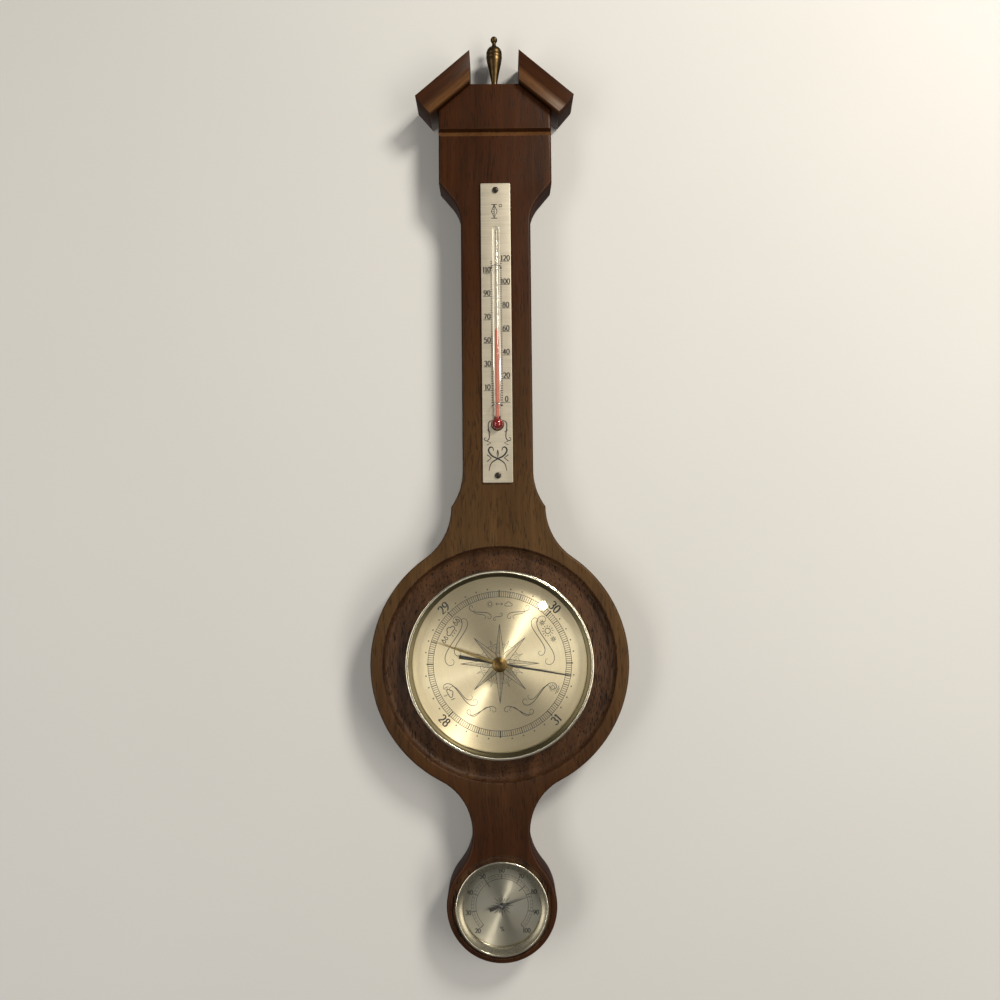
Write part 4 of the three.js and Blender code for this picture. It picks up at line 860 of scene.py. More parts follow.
def moulding(side):
    length = (HEAD_HALF + MOULD_OVERHANG - TOP_HALF) / math.cos(math.radians(PITCH))
    lead = MOULD_H * math.tan(math.radians(PITCH)) + PROUD
    top = CLEAR + MOULD_H
    flare = [
        (moulding_front + MOULD_HOLLOW * math.sin(math.pi / 2 * t), CLEAR + 0.5 * MOULD_H * t)
        for t in (0, 0.2, 0.4, 0.6, 0.8, 1)
    ]
    section = [(BACK, CLEAR), *flare, (moulding_front, top), (BACK, top)]
    start, stop = (-lead, length) if side > 0 else (-length, lead)
    bm = bmesh.new()
    face = bm.faces.new([bm.verts.new((start, y, z)) for y, z in section])
    pushed = bmesh.ops.extrude_face_region(bm, geom=[face])["geom"]
    ends = [v for v in pushed if isinstance(v, bmesh.types.BMVert)]
    bmesh.ops.translate(bm, vec=(stop - start, 0, 0), verts=ends)
    rake = Matrix.Translation((side * TOP_HALF, 0, HEAD_TOP)) @ Matrix.Rotation(
        side * math.radians(PITCH), 4, "Y"
    )
    bmesh.ops.transform(bm, matrix=rake, verts=bm.verts)
    everything = [*bm.verts, *bm.edges, *bm.faces]
    plane = {"plane_co": (side * TOP_HALF, 0, 0), "plane_no": (-side, 0, 0)}
    bmesh.ops.bisect_plane(bm, geom=everything, clear_outer=True, dist=1e-5, **plane)
    rim = [e for e in bm.edges if e.is_boundary]
    bmesh.ops.contextual_create(bm, geom=rim)
    return soften(tidy(bm), 0.25, 2, 12.0)


for side, word in ((-1, "left"), (1, "right")):
    add_piece(
        moulding(side),
        f"moulding_{word}",
        [slope_woods[side]],
        stands_for=[f"pediment_moulding_{word}"],
    )

# %% [markdown]
# ## The finial
# A small brass urn with a ball, turned in one piece. Its profile is smooth where the turner used
# a broad tool, and has two fine beads at the shoulder that the solid model leaves out. Spinning
# the profile about an upright line gives the whole piece.

# %% Turn the finial
finial_low, finial_high = box_mm("finial")
finial_y = (finial_low.y + finial_high.y) / 2


def finial():
    full = finial_high.x
    foot = HEAD_TOP + CLEAR
    rise = finial_high.z - foot
    ball_r = 0.061 * rise
    ball = arc(0, finial_high.z - ball_r, ball_r, -58, 90, 12)
    body = [
        (0.0, finial_low.z),
        (2.0, finial_low.z),
        (2.0, foot),
        (0.60 * full, foot),
        (0.62 * full, foot + 0.5),
        (0.60 * full, foot + 1.1),
        (0.42 * full, foot + 1.8),
        (0.34 * full, foot + 3.0),
        (0.35 * full, foot + 4.6),
        (0.42 * full, foot + 7.4),
        (0.53 * full, foot + 10.6),
        (0.66 * full, foot + 14.2),
        (0.79 * full, foot + 17.6),
        (0.90 * full, foot + 20.6),
        (0.95 * full, foot + 22.2),
        (0.93 * full, foot + 22.7),
        (0.97 * full, foot + 23.2),
        (full, foot + 24.2),
        (0.97 * full, foot + 25.2),
        (0.94 * full, foot + 25.6),
        (0.98 * full, foot + 26.2),
        (0.98 * full, foot + 27.2),
        (0.94 * full, foot + 28.2),
        (0.84 * full, foot + 29.5),
        (0.66 * full, foot + 30.7),
        (0.44 * full, foot + 31.6),
        (0.30 * full, foot + 32.3),
        (0.25 * full, foot + 33.2),
    ]
    return lathe([*body, *ball[:-1], (0.0, finial_high.z)], (0, 0), 64, finial_y)


add_piece(finial(), "finial_turned", [finial_brass], stands_for=["finial"], smooth=40.0)

# %% [markdown]
# ## Printed lines
# Dial printing is a film of ink, so a picture could carry it, but lines with a body of their own
# stay sharp at any size. Each line is a curve with a width at every point. Blender sweeps it into
# a round cord, and the cord is then pressed flat. A broad pen rule gives the numerals their look:
# a line is thick where it runs upright and thin where it runs level.

# %% Pens
INK_PRESS = 0.04
INK_RISE = 0.012


def oval(x, z, wide, high, start=0, stop=360, step=15):
    steps = max(2, math.ceil(abs(stop - start) / step))
    turns = [math.radians(start + (stop - start) * i / steps) for i in range(steps + 1)]
    return [(x + wide * math.cos(t), z + high * math.sin(t)) for t in turns]


def pen(points, thick=0.105, thin=0.045):
    """Half widths from the direction of travel, for a broad pen held upright."""
    widths = []
    for i in range(len(points)):
        (x0, z0), (x1, z1) = points[max(i - 1, 0)], points[min(i + 1, len(points) - 1)]
        run = math.hypot(x1 - x0, z1 - z0) or 1.0
        widths.append(thin + (thick - thin) * abs(z1 - z0) / run)
    return points, widths


def even(points, half_width):
    return points, [half_width] * len(points)


def swelling(points, thick, thin):
    last = len(points) - 1
    return points, [thin + (thick - thin) * math.sin(math.pi * i / last) for i in range(last + 1)]


def put(strokes, x, z, size=1.0, turn=0.0):
    """The same strokes at another place, size and turn."""
    across, up = polar(size, turn)
    placed = []
    for points, widths in strokes:
        line = [(x + a * across - b * up, z + a * up + b * across) for a, b in points]
        placed.append((line, [size * w for w in widths]))
    return placed


def new_cord(thickness, roundness):
    curve = bpy.data.curves.new("cord", "CURVE")
    curve.dimensions = "3D"
    curve.bevel_depth = thickness
    curve.bevel_resolution = roundness
    curve.use_fill_caps = True
    return curve


def add_line(curve, points, radii):
    spline = curve.splines.new("POLY")
    spline.points.add(len(points) - 1)
    for target, point, radius in zip(spline.points, points, radii):
        target.co = (*point, 1)
        target.radius = radius


def as_mesh(curve):
    """The swept curve as a mesh, which can be pressed, welded and exported like any other."""
    swept = bpy.data.objects.new("cord", curve)
    bpy.context.scene.collection.objects.link(swept)
    settled = swept.evaluated_get(bpy.context.evaluated_depsgraph_get())
    mesh = bpy.data.meshes.new_from_object(settled)
    bpy.data.objects.remove(swept)
    bpy.data.curves.remove(curve)
    bm = bmesh.new()
    bm.from_mesh(mesh)
    bpy.data.meshes.remove(mesh)
    return bm


def inked(strokes, level):
    """Sweeps all strokes into flat lines that lie on a surface at this level."""
    curve = new_cord(1.0, 1)
    for points, widths in strokes:
        add_line(curve, [(x, 0, z) for x, z in points], widths)
    bm = as_mesh(curve)
    bmesh.ops.scale(bm, vec=(1, INK_PRESS, 1), verts=bm.verts)
    bmesh.ops.translate(bm, vec=(0, level - INK_RISE, 0), verts=bm.verts)
    bmesh.ops.recalc_face_normals(bm, faces=bm.faces)
    return bm


print("pens ready")

# %% [markdown]
# ## Numerals
# The ten numerals are drawn from ovals and straight strokes, one unit high. That keeps them plain
# and generic, and the same strokes serve the thermometer and both dials at their own sizes.

# %% Numerals and signs
six = [oval(0.52, 0.32, 0.46, 0.66, 82, 180), oval(0.30, 0.29, 0.24, 0.29)]
swan = oval(0.30, 0.73, 0.23, 0.27, 165, -30) + [(0.42, 0.42), (0.22, 0.20), (0.06, 0.04)]
belly = oval(0.28, 0.31, 0.25, 0.31, 125, -150)
NUMERALS = {
    "0": [oval(0.30, 0.50, 0.25, 0.50)],
    "1": [[(0.30, 0), (0.30, 1)], [(0.14, 0.84), (0.30, 1)], [(0.19, 0.02), (0.41, 0.02)]],
    "2": [swan, [(0.06, 0.04), (0.55, 0.04)]],
    "3": [oval(0.28, 0.76, 0.21, 0.24, 155, -90), oval(0.28, 0.27, 0.25, 0.27, 90, -155)],
    "4": [[(0.42, 1), (0.04, 0.30)], [(0.04, 0.30), (0.58, 0.30)], [(0.42, 1), (0.42, 0)]],
    "5": [[(0.13, 0.97), (0.50, 0.97)], [(0.13, 0.97), (0.10, 0.56)], belly],
    "6": six,
    "7": [[(0.06, 0.97), (0.54, 0.97)], [(0.54, 0.97), (0.22, 0)]],
    "8": [oval(0.30, 0.76, 0.19, 0.24), oval(0.30, 0.27, 0.24, 0.27)],
    "9": [[(0.60 - x, 1 - z) for x, z in stroke] for stroke in six],
    "%": [oval(0.14, 0.78, 0.13, 0.20), oval(0.66, 0.22, 0.13, 0.20), [(0.20, 0), (0.62, 1)]],
}
NUMERAL_MIDDLE = 0.30
ROOM, ROOM_FOR_ONE = 0.69, 0.45


def number(text, thick=0.105, thin=0.045):
    """Strokes of a number one unit high, centred on the origin."""
    rooms = [ROOM_FOR_ONE if character == "1" else ROOM for character in text]
    strokes = []
    start = -sum(rooms) / 2
    for character, room in zip(text, rooms):
        signs = [pen(stroke, thick, thin) for stroke in NUMERALS[character]]
        strokes += put(signs, start + room / 2 - NUMERAL_MIDDLE, -0.5)
        start += room
    return strokes


def scroll(start, end, turn=300.0, flip=1, thick=0.28, thin=0.07, tight=4.5):
    """An S whose ends curl up, because its bend grows with the distance from its middle."""
    steps = 40
    half = [(0.0, 0.0)]
    for i in range(steps):
        heading = math.radians(turn) * ((i + 0.5) / steps) ** tight
        x, z = half[-1]
        half.append((x + math.cos(heading) / steps, z + math.sin(heading) / steps))
    whole = [(-x, -z) for x, z in reversed(half[1:])] + half
    widest = max(whole)
    whole = [(x, flip * z) for x, z in whole]
    reach = math.hypot(end[0] - start[0], end[1] - start[1]) / (2 * widest[0])
    lean = math.degrees(math.atan2(end[1] - start[1], end[0] - start[0]))
    middle = ((start[0] + end[0]) / 2, (start[1] + end[1]) / 2)
    strokes = [swelling(whole, thick / reach, thin / reach)]
    return put(strokes, *middle, reach, lean)


print("numerals", "".join(NUMERALS))

# %% [markdown]
# ## Scale plate, screws and clips
# The plate is a strip of satin brass with a window behind the bulb, so that the bulb can sit low.
# Two round headed pins hold it to the board. Thin wire clips go over the tube and through the
# plate. A wire is the one case where a curve with a round bevel is the natural tool.

# %% Make the plate, its pins and the clips
tube_low, tube_high = box_mm("thermometer_tube")
plate_low, plate_high = box_mm("thermometer_plate")
TUBE_R = 2.5
tube_y = (tube_low.y + tube_high.y) / 2
bulb_r = (tube_high.x - tube_low.x) / 2
bulb_z = tube_low.z + bulb_r


def rounded_box(low, high, radius):
    corners = [
        (high.x - radius, high.z - radius, 0),
        (low.x + radius, high.z - radius, 90),
        (low.x + radius, low.z + radius, 180),
        (high.x - radius, low.z + radius, 270),
    ]
    return [p for x, z, turn in corners for p in arc(x, z, radius, turn, turn + 90, 22.5)]


def hole(x, z, radius, y_back, y_front, steps=24):
    ends = [(0, y_back), (radius, y_back), (radius, y_front), (0, y_front)]
    return lathe(ends, (x, z), steps)


def scale_plate():
    plate = slab(rounded_box(plate_low, plate_high, 0.7), plate_high.y, plate_low.y)
    soften(plate, 0.12, 2, 30.0)
    back, front = plate_high.y + 1, plate_low.y - 1
    cutters = [hole(0, bulb_z, bulb_r + 0.6, back, front, 48)]
    for end in ("upper", "lower"):
        cutters.append(hole(*centre_mm(f"plate_screw_{end}"), PIN_HOLE_R, back, front))
    for end in ("upper", "lower"):
        low, high = box_mm(f"tube_clip_{end}")
        leg = (high.z - low.z) / 2
        z = (high.z + low.z) / 2
        cutters += [hole(side * (high.x - leg), z, leg + CLEAR, back, front, 16) for side in (-1, 1)]
    return carve(plate, cutters, [plate_satin])


def domed_screw(name):
    low, high = box_mm(name)
    head_r = (high.x - low.x) / 2
    under = plate_low.y - CLEAR
    rise = under - low.y - 0.25
    turns = [math.radians(t) for t in range(0, 90, 10)]
    dome = [(head_r * math.cos(t), under - 0.25 - rise * math.sin(t)) for t in turns]
    shank = [(0, high.y), (1.0, high.y - 2), (1.0, under), (head_r - 0.1, under)]
    return lathe([*shank, *dome, (0, low.y)], centre_mm(name), 40)


def wire_clip(name):
    low, high = box_mm(name)
    wire_r = (high.z - low.z) / 2
    reach = high.x - wire_r
    z = (high.z + low.z) / 2
    bend = [polar(reach, 10 * i) for i in range(19)]
    path = [(reach, high.y), *[(x, tube_y - rise) for x, rise in bend], (-reach, high.y)]
    curve = new_cord(wire_r, 3)
    add_line(curve, [(x, y, z) for x, y in path], [1.0] * len(path))
    return tidy(as_mesh(curve))


add_piece(
    scale_plate(), "scale_plate", [plate_satin], stands_for=["thermometer_plate"]
)
for end in ("upper", "lower"):
    pin, replaced = domed_screw(f"plate_screw_{end}"), [f"plate_screw_{end}"]
    add_piece(pin, f"plate_pin_{end}", [screw_black], stands_for=replaced, smooth=50.0)
    clip, replaced = wire_clip(f"tube_clip_{end}"), [f"tube_clip_{end}"]
    add_piece(clip, f"tube_wire_{end}", [steel_plain], stands_for=replaced, smooth=60.0)

# %% [markdown]
# ## Tube and spirit
# The tube is a rod of glass with a hair-thin bore and a blown bulb. Glass and spirit touch in the
# real one. In the render that contact matters: a gap of air would shine like a mirror. So the
# glass is one closed skin, the spirit lies inside it, and the empty bore above the spirit is a
# second skin that is turned inside out. The thick wall then magnifies the thin red thread. Only
# the camera sees the glass: a rod also gathers the lamps into a bright smear on the plate, so
# shadow, diffuse and glossy rays pass it by.

# %% Blow the tube and fill it
GLASS_WALL = 0.7
THREAD_R = 0.8
spirit_low, spirit_high = box_mm("thermometer_spirit")


def glass_tube():
    join = math.degrees(math.acos(TUBE_R / bulb_r))
    bulb = [(max(r, 0.0), z) for r, z in arc(0, bulb_z, bulb_r, -90, join, 6)]
    end = [(max(r, 0.0), z) for r, z in arc(0, tube_high.z - TUBE_R, TUBE_R, 0, 90, 10)]
    bulb[0] = (0.0, tube_low.z)
    end[-1] = (0.0, tube_high.z)
    tube = lathe([*bulb, *end], (0, 0), 48, tube_y)
    bore_r = (spirit_high.x - spirit_low.x) / 12
    foot, crown = spirit_high.z + 0.2, tube_high.z - 3.5
    bore = lathe([(0, foot), (bore_r, foot), (bore_r, crown), (0, crown + 0.5)], (0, 0), 20, tube_y)
    bmesh.ops.reverse_faces(bore, faces=bore.faces)
    return absorb(tube, bore)


def red_spirit():
    ball_r = bulb_r - GLASS_WALL
    join = math.degrees(math.acos(THREAD_R / ball_r))
    ball = [(max(r, 0.0), z) for r, z in arc(0, bulb_z, ball_r, -90, join, 8)]
    ball[0] = (0.0, bulb_z - ball_r)
    top = spirit_high.z
    return lathe([*ball, (THREAD_R, top - 0.3), (0, top)], (0, 0), 32, tube_y)


tube = add_piece(
    glass_tube(), "glass_tube", [tube_glass], stands_for=["thermometer_tube"], smooth=60.0
)
tube.visible_shadow = tube.visible_diffuse = tube.visible_glossy = False
dye, replaced = red_spirit(), ["thermometer_spirit"]
add_piece(dye, "red_spirit", [spirit_red], stands_for=replaced, smooth=60.0)

# %% [markdown]
# ## Printing on the scale plate
# The plate carries a Fahrenheit scale. Even tens stand on the right and odd tens on the left,
# each on a thin line at its own height, with a short tick every two degrees along the tube.
# Crossed sprays fill the foot. At the top a small degree ring stands beside a tall lozenge, which
# is hatched on one side and ends in two bars.

# %% Print the plate
ZERO_Z = -148.6
DEGREE = 0.8108
FIGURE_H = 3.5


def flowing(points, steps=6):
    """A smooth line through all the points: each span leans on the two points beyond its ends."""
    ends = [points[0], *points, points[-1]]
    line = [points[0]]
    for near in zip(ends, ends[1:], ends[2:], ends[3:]):
        for t in (i / steps for i in range(1, steps + 1)):
            weights = (
                -t + 2 * t**2 - t**3,
                2 - 5 * t**2 + 3 * t**3,
                t + 4 * t**2 - 3 * t**3,
                t**3 - t**2,
            )
            x, z = (sum(w * p[k] for w, p in zip(weights, near)) / 2 for k in (0, 1))
            line.append((x, z))
    return line


def foot_ornament():
    """Two crossed sprays with curled heads, a bud between them and small arrowheads outside."""
    strokes = []
    for s in (-1, 1):
        strokes += scroll((s * 6.9, -161.6), (s * 5.0, -174.4), 320, s, 0.42, 0.22, 3.0)
        strokes.append(even([(s * 4.7, -169.0), (s * 7.1, -167.2)], 0.24))
        strokes.append(even([(s * 7.2, -175.0), (s * 4.4, -176.3), (s * 7.2, -177.6)], 0.3))
        strokes.append(even([(s * 7.2, -184.2), (s * 4.4, -186.5), (s * 7.2, -188.8)], 0.36))
        head = [(-s * 2.8, -181.6), (-s * 3.4, -179.6), (-s * 5.2, -179.2), (-s * 6.2, -181.6)]
        tail = [(-s * 3.9, -185.0), (0, -187.0), (s * 4.5, -190.1), (s * 6.0, -195.2)]
        strokes.append(swelling(flowing(head + tail), 0.62, 0.24))
    bud = [(0, -181.0), (0.5, -183.6), (0, -186.7), (-0.5, -183.6), (0, -181.0)]
    return strokes + [even(bud, 0.36)]


def degree_ornament():
    """A degree ring beside a tall lozenge, hatched on one side, that stands between two bars."""
    top, foot, middle = -11.6, -21.2, -16.4
    x, half = -0.9, 2.0
    lozenge = [(x, top), (x + half, middle), (x, foot), (x - half, middle)]
    strokes = [even(oval(3.4, -12.4, 0.95, 0.95), 0.26), even([*lozenge, lozenge[0]], 0.26)]
    strokes.append(even([(x, top), (x, foot)], 0.24))
    for share in (-0.6, -0.3, 0, 0.3, 0.6):
        z = middle + share * (top - middle)
        strokes.append(even([(x - half * (1 - abs(share)), z), (x, z)], 0.2))
    return strokes + [even([(x - 2, z), (x + 2, z)], 0.3) for z in (top, foot)]


def plate_print():
    strokes = foot_ornament() + degree_ornament()
    for degrees in range(0, 121, 2):
        z = ZERO_Z + DEGREE * degrees
        strokes += [even([(s * 2.7, z), (s * 3.9, z)], 0.34) for s in (-1, 1)]
    for degrees in range(0, 121, 10):
        side = 1 if degrees % 20 == 0 else -1
        z = ZERO_Z + DEGREE * degrees
        strokes.append(even([(side * 2.9, z), (side * 9.0, z)], 0.2))
        strokes += put(number(str(degrees), 0.12, 0.08), side * 6.4, z + 0.66 * FIGURE_H, FIGURE_H)
    return inked(strokes, plate_low.y)


add_piece(plate_print(), "plate_print", [ink_black], smooth=20.0)

# %% [markdown]
# ## Bezels
# Each bezel is one brass ring that was spun to shape: a narrow rounded rim that was polished, and
# a cone that runs down to the glass, painted dark as painted shade. The profile is spun in one
# go, and every face inside the rim is then given the darker finish, so the two meet in a crisp
# circle.

# %% Turn the bezels
RIM_T = 0.5
SHEET = 0.8
bezel_sizes = {
    "barometer": {"rim": 2.0, "cone": 2.6, "drop": 1.8},
    "hygrometer": {"rim": 1.3, "cone": 3.7, "drop": 2.0},
}


def bezel(kind):
    sizes = bezel_sizes[kind]
    low, high = box_mm(f"{kind}_bezel")
    outer, front, back = radius_mm(f"{kind}_bezel"), low.y, high.y
    rim_in = outer - sizes["rim"]
    sight = rim_in - sizes["cone"]
    inner_lip = front + sizes["drop"]
    crown = 0.45 * sizes["rim"]
    skirt = radius_mm(f"{kind}_dial") + CLEAR + 1.5
    round_over = arc(outer - crown, front + crown, crown, 0, -90, 11.25)
    inner_round = arc(rim_in + 0.35, front + 0.35, 0.35, 270, 180, 22.5)
    profile = [
        (outer - RIM_T, back),
        (outer - 0.15, back),
        (outer, back - 0.15),
        *round_over,
        *inner_round,
        (rim_in - 0.05, front + 0.55),
        (sight + 0.45 * sizes["cone"], inner_lip - 0.42 * sizes["drop"]),
        (sight + 0.55, inner_lip - 0.2),
        (sight + 0.15, inner_lip - 0.12),
        (sight, inner_lip + 0.08),
        (sight, inner_lip + RIM_T),
        (skirt, inner_lip + RIM_T),
        (outer - RIM_T, back - SHEET - CLEAR),
    ]
    x, z = centre_mm(f"{kind}_bezel")
    ring = lathe(profile, (x, z), 192)
    # Faces inside the rim get the second, darker finish: painted shade.
    for face in ring.faces:
        middle = face.calc_center_median()
        if math.hypot(middle.x - x, middle.z - z) < rim_in and face.normal.y < 0.2:
            face.material_index = 1
    return ring


# Each cone's finish is painted darker than its rim: painted shade.
for kind, word, cone in (("barometer", "large", painted_shade_cone_brass), ("hygrometer", "small", painted_shade_grey_cone)):
    finishes, replaced = [rim_brass, cone], [f"{kind}_bezel"]
    add_piece(bezel(kind), f"bezel_{word}", finishes, stands_for=replaced, smooth=38.0)

# %% [markdown]
# ## Dials
# The dials are discs of brass, spun to a satin. What makes them look spun is a highlight that
# spreads into two bright fans, because each circular scratch is a tiny groove that only throws
# light sideways. Blender's anisotropy does that if it knows the direction of the scratches, so
# every corner of the mesh stores its angle and radius in a UV map, and a Tangent node reads it.

# %% Cut the dials and map them


def write_polar_map(bm, centre, outer):
    layer = bm.loops.layers.uv.new("polar")
    for face in bm.faces:
        middle = face.calc_center_median()
        about = math.atan2(middle.z - centre[1], middle.x - centre[0]) / math.tau
        for loop in face.loops:
            x, z = loop.vert.co.x - centre[0], loop.vert.co.z - centre[1]
            turn = math.atan2(z, x) / math.tau
            turn += round(about - turn)
            loop[layer].uv = (turn, math.hypot(x, z) / outer)
    return bm


def disc(kind):
    low, high = box_mm(f"{kind}_dial")
    outer = radius_mm(f"{kind}_dial")
    centre = centre_mm(f"{kind}_dial")
    rings = [(outer * share, low.y) for share in (0.98, 0.8, 0.6, 0.4, 0.2)]
    profile = [(2.0, high.y), (outer, high.y), (outer, low.y + 0.15), (outer - 0.15, low.y)]
    return write_polar_map(lathe([*profile, *rings, (2.0, low.y)], centre, 180), centre, outer)


dial_finishes = {"barometer": ("large", dial_satin), "hygrometer": ("small", small_dial_satin)}
for kind, (word, satin) in dial_finishes.items():
    add_piece(disc(kind), f"dial_{word}", [satin], stands_for=[f"{kind}_dial"])

# %% [markdown]
# ## Printing on the barometer dial
# Pressure runs from 28 to 31 inches of mercury over three quarters of the circle. Two fine rings
# hold the ticks, with a dot outside every fifth one. Small weather signs stand where a dial names
# the weather: rain, sun, cloud before sun, storm and dry. A compass rose fills the middle, half
# of each point hatched, and scrolls fill the rest.

# %% Signs for the weather


def cloud_sign():
    outline = (
        oval(-1.3, 0, 0.8, 0.8, 270, 75)
        + oval(0, 0.6, 1.05, 1.05, 175, 5)
        + oval(1.3, 0, 0.8, 0.8, 105, -90)
        + [(-1.3, -0.8)]
    )
    return [even(outline, 0.19)]


def slanting_rain():
    return [even([(x + 0.2, -1.3), (x - 0.1, -2.1)], 0.17) for x in (-1.2, 0, 1.2)]


def drop_sign():
    return [even([(0, 1.1), *oval(0, -0.3, 0.5, 0.5, 35, -215), (0, 1.1)], 0.17)]


def sun(disc_r, tip_r, rays=12):
    turns = [360 * i / rays for i in range(rays)]
    beams = [even([polar(1.5 * disc_r, turn), polar(tip_r, turn)], 0.16) for turn in turns]
    return [even(oval(0, 0, disc_r, disc_r), 0.19), *beams]


def bolt():
    return [even([(0.3, 1.0), (-0.4, 0.0), (0.25, 0.1), (-0.35, -1.0)], 0.2)]


def level_lines():
    return [even([(-half, -z), (half, -z)], 0.17) for half, z in ((2.4, 2.5), (1.4, 3.2))]


def two_way_arrow():
    heads = [[(s * 1.2, 0.7), (s * 1.9, 0), (s * 1.2, -0.7)] for s in (-1, 1)]
    return [even([(-1.9, 0), (1.9, 0)], 0.19), *[even(head, 0.19) for head in heads]]


def in_row(sign, *places):
    return [stroke for x, z in places for stroke in put(sign, x, z)]


print("weather signs ready")

# %% Print the barometer dial
RING_IN = 44.7
RING_OUT = 48.4
DOT_R = 50.3
NUMERAL_R = 53.0
TICK_STEP = 1.8
ROSE_TIPS = (26.5, 24.5)
HATCHES = 24


def rose():
    strokes = []
    waist_x, waist_z = polar(7.2, 22.5)
    for i in range(8):
        tip = ROSE_TIPS[i % 2]
        point = [even([(2.6, 0), (waist_x, s * waist_z), (tip, 0)], 0.18) for s in (1, -1)]
        point.append(even([(2.6, 0), (tip, 0)], 0.13))
        for k in range(HATCHES):
            x = waist_x + (tip - waist_x) * k / HATCHES
            point.append(even([(x, 0), (x, waist_z * (1 - k / HATCHES))], 0.13))
        strokes += put(point, 0, 0, 1, 45 * i)
    outline = even([(9.6, 1.9), (16.8, 0), (9.6, -1.9)], 0.16)
    spine = even([(10.5, 0), (16.8, 0)], 0.13)
    links = [even(arc(0, 0, 13.2, start, start + 10), 0.16) for start in (6.5, 28.5)]
    for i in range(8):
        strokes += put([outline, spine], 0, 0, 1, 45 * i + 22.5)
        strokes += put(links, 0, 0, 1, 45 * i)
    return strokes


def dial_scale():
    strokes = [even(arc(0, 0, r, 0, 360, 2), 0.19) for r in (RING_IN, RING_OUT)]
    for i in range(round(360 / TICK_STEP)):
        turn = TICK_STEP * i
        bold = turn % 45 < 0.1
        medium = turn % 9 < 0.1
        width = 0.46 if bold else 0.32 if medium else 0.19
        out = RING_OUT + (0.9 if bold else 0)
        strokes.append(even([polar(RING_IN, turn), polar(out, turn)], width))
        if medium and not bold:
            strokes.append(even(oval(*polar(DOT_R, turn), 0.25, 0.25, step=60), 0.34))
    for text, turn, lean in (("28", 225, -45), ("29", 135, 45), ("30", 45, -45), ("31", -45, 45)):
        strokes += put(number(text, 0.11, 0.06), *polar(NUMERAL_R, turn), 5.6, lean)
    return strokes


def flourishes():
    strokes = scroll((-4.0, 31.4), (2.0, 31.4), 320, 1, 0.28, 0.14, 2.2)
    for s in (-1, 1):
        strokes += scroll((s * 5.4, 34.2), (s * 20.4, 34.8), 330, s, 0.3, 0.14, 3.2)
        strokes += scroll((s * 9.0, 32.6), (s * 17.4, 33.6), 200, s, 0.24, 0.12, 3.0)
        strokes += scroll((s * 19.4, 27.6), (s * 32.6, 8.0), 320, -s, 0.3, 0.14, 3.4)
        strokes += scroll((s * 22.4, 27.8), (s * 39.6, 2.8), 300, -s, 0.3, 0.14, 3.2)
        strokes += scroll((s * 33.6, -11.0), (s * 19.6, -29.8), 320, -s, 0.3, 0.14, 3.2)
        strokes += scroll((s * 31.0, -13.6), (s * 21.6, -25.4), 220, -s, 0.24, 0.12, 3.0)
        strokes += scroll((s * 4.8, -26.8), (s * 20.4, -35.8), 320, s, 0.3, 0.14, 3.2)
        strokes += scroll((s * 8.4, -27.6), (s * 18.0, -36.2), 220, s, 0.24, 0.12, 3.0)
    return strokes


def on_ring(sign, radius, turn, size, lean):
    return put(sign, *polar(radius, turn), size, lean)


def weather():
    drops = in_row(drop_sign(), (-3.4, 0), (-4.9, 0), (3.4, 0), (4.9, 0))
    rain = cloud_sign() + slanting_rain() + drops
    fair = sun(1.2, 2.6) + put(sun(0.5, 1.3, 8), -4.4, 0) + put(sun(0.5, 1.3, 8), 4.4, 0)
    change = put(sun(1.0, 2.0), -5.2, 0) + two_way_arrow() + put(cloud_sign(), 5.2, -0.4)
    storm = cloud_sign() + put(bolt(), 0, -2.1) + in_row(bolt(), (-3.2, 0), (3.2, 0))
    dry = sun(1.0, 2.1) + level_lines()
    return (
        on_ring(rain, 39.6, 146, 1.7, 56)
        + on_ring(fair, 39.0, 33.6, 1.5, -56)
        + on_ring(change, 39.9, 90, 1.2, 0)
        + on_ring(storm, 39.0, 210, 1.4, -60)
        + on_ring(dry, 39.0, -24.7, 1.3, 65)
    )


large_level = box_mm("barometer_dial")[0].y
face_print = inked(put(dial_scale() + rose() + flourishes() + weather(), *BAROMETER), large_level)
add_piece(face_print, "barometer_print", [ink_black], smooth=20.0)

# %% [markdown]
# ## Printing on the hygrometer dial
# Relative humidity runs from 20 to 100 percent, 3.375 degrees of arc for each percent. Three
# rings hold the ticks, and two heavy ticks bound the span that a room should keep to. A fine
# sunburst surrounds the hub.

# %% Print the hygrometer dial
PERCENT = 270 / 80
OUTER_RING, MIDDLE_RING, INNER_RING = 20.4, 18.9, 17.4


def bearing(percent):
    return 225 - PERCENT * (percent - 20)


def humidity_scale():
    rings = ((OUTER_RING, 0.14), (MIDDLE_RING, 0.1), (INNER_RING, 0.2))
    strokes = [even(arc(0, 0, radius, 225, -45, 3), width) for radius, width in rings]
    for value in range(20, 101, 2):
        turn = bearing(value)
        long_tick = value % 10 == 0
        width = 0.3 if long_tick else 0.13
        inner = INNER_RING if long_tick else MIDDLE_RING
        strokes.append(even([polar(inner, turn), polar(OUTER_RING, turn)], width))
    for value in range(20, 101, 10):
        strokes += put(number(str(value), 0.14, 0.10), *polar(22.9, bearing(value)), 2.8)
    for turn in (123.75, 39.4):
        strokes.append(even([polar(14.4, turn), polar(20.0, turn)], 0.36))
    for i in range(16):
        reach = 5.2 if i % 2 else 7.4
        ray = [polar(radius, 22.5 * i) for radius in (2.4, (2.4 + reach) / 2, reach)]
        strokes.append(swelling(ray, 0.30, 0.12))
    return strokes + put([pen(stroke) for stroke in NUMERALS["%"]], -1.2, -16.6, 3.0)


small_level = box_mm("hygrometer_dial")[0].y
small_print = inked(put(humidity_scale(), *HYGROMETER), small_level)
add_piece(small_print, "hygrometer_print", [ink_black], smooth=20.0)

# %% [markdown]
# ## Hands
# The hands are stamped from thin sheet. A ridge along the middle stiffens each one and catches a
# line of light. The outline is pushed to its thickness and cut along its length with
# bisect_plane, and the outer points are then drawn back, which raises the ridge.

# %% Stamp the hands


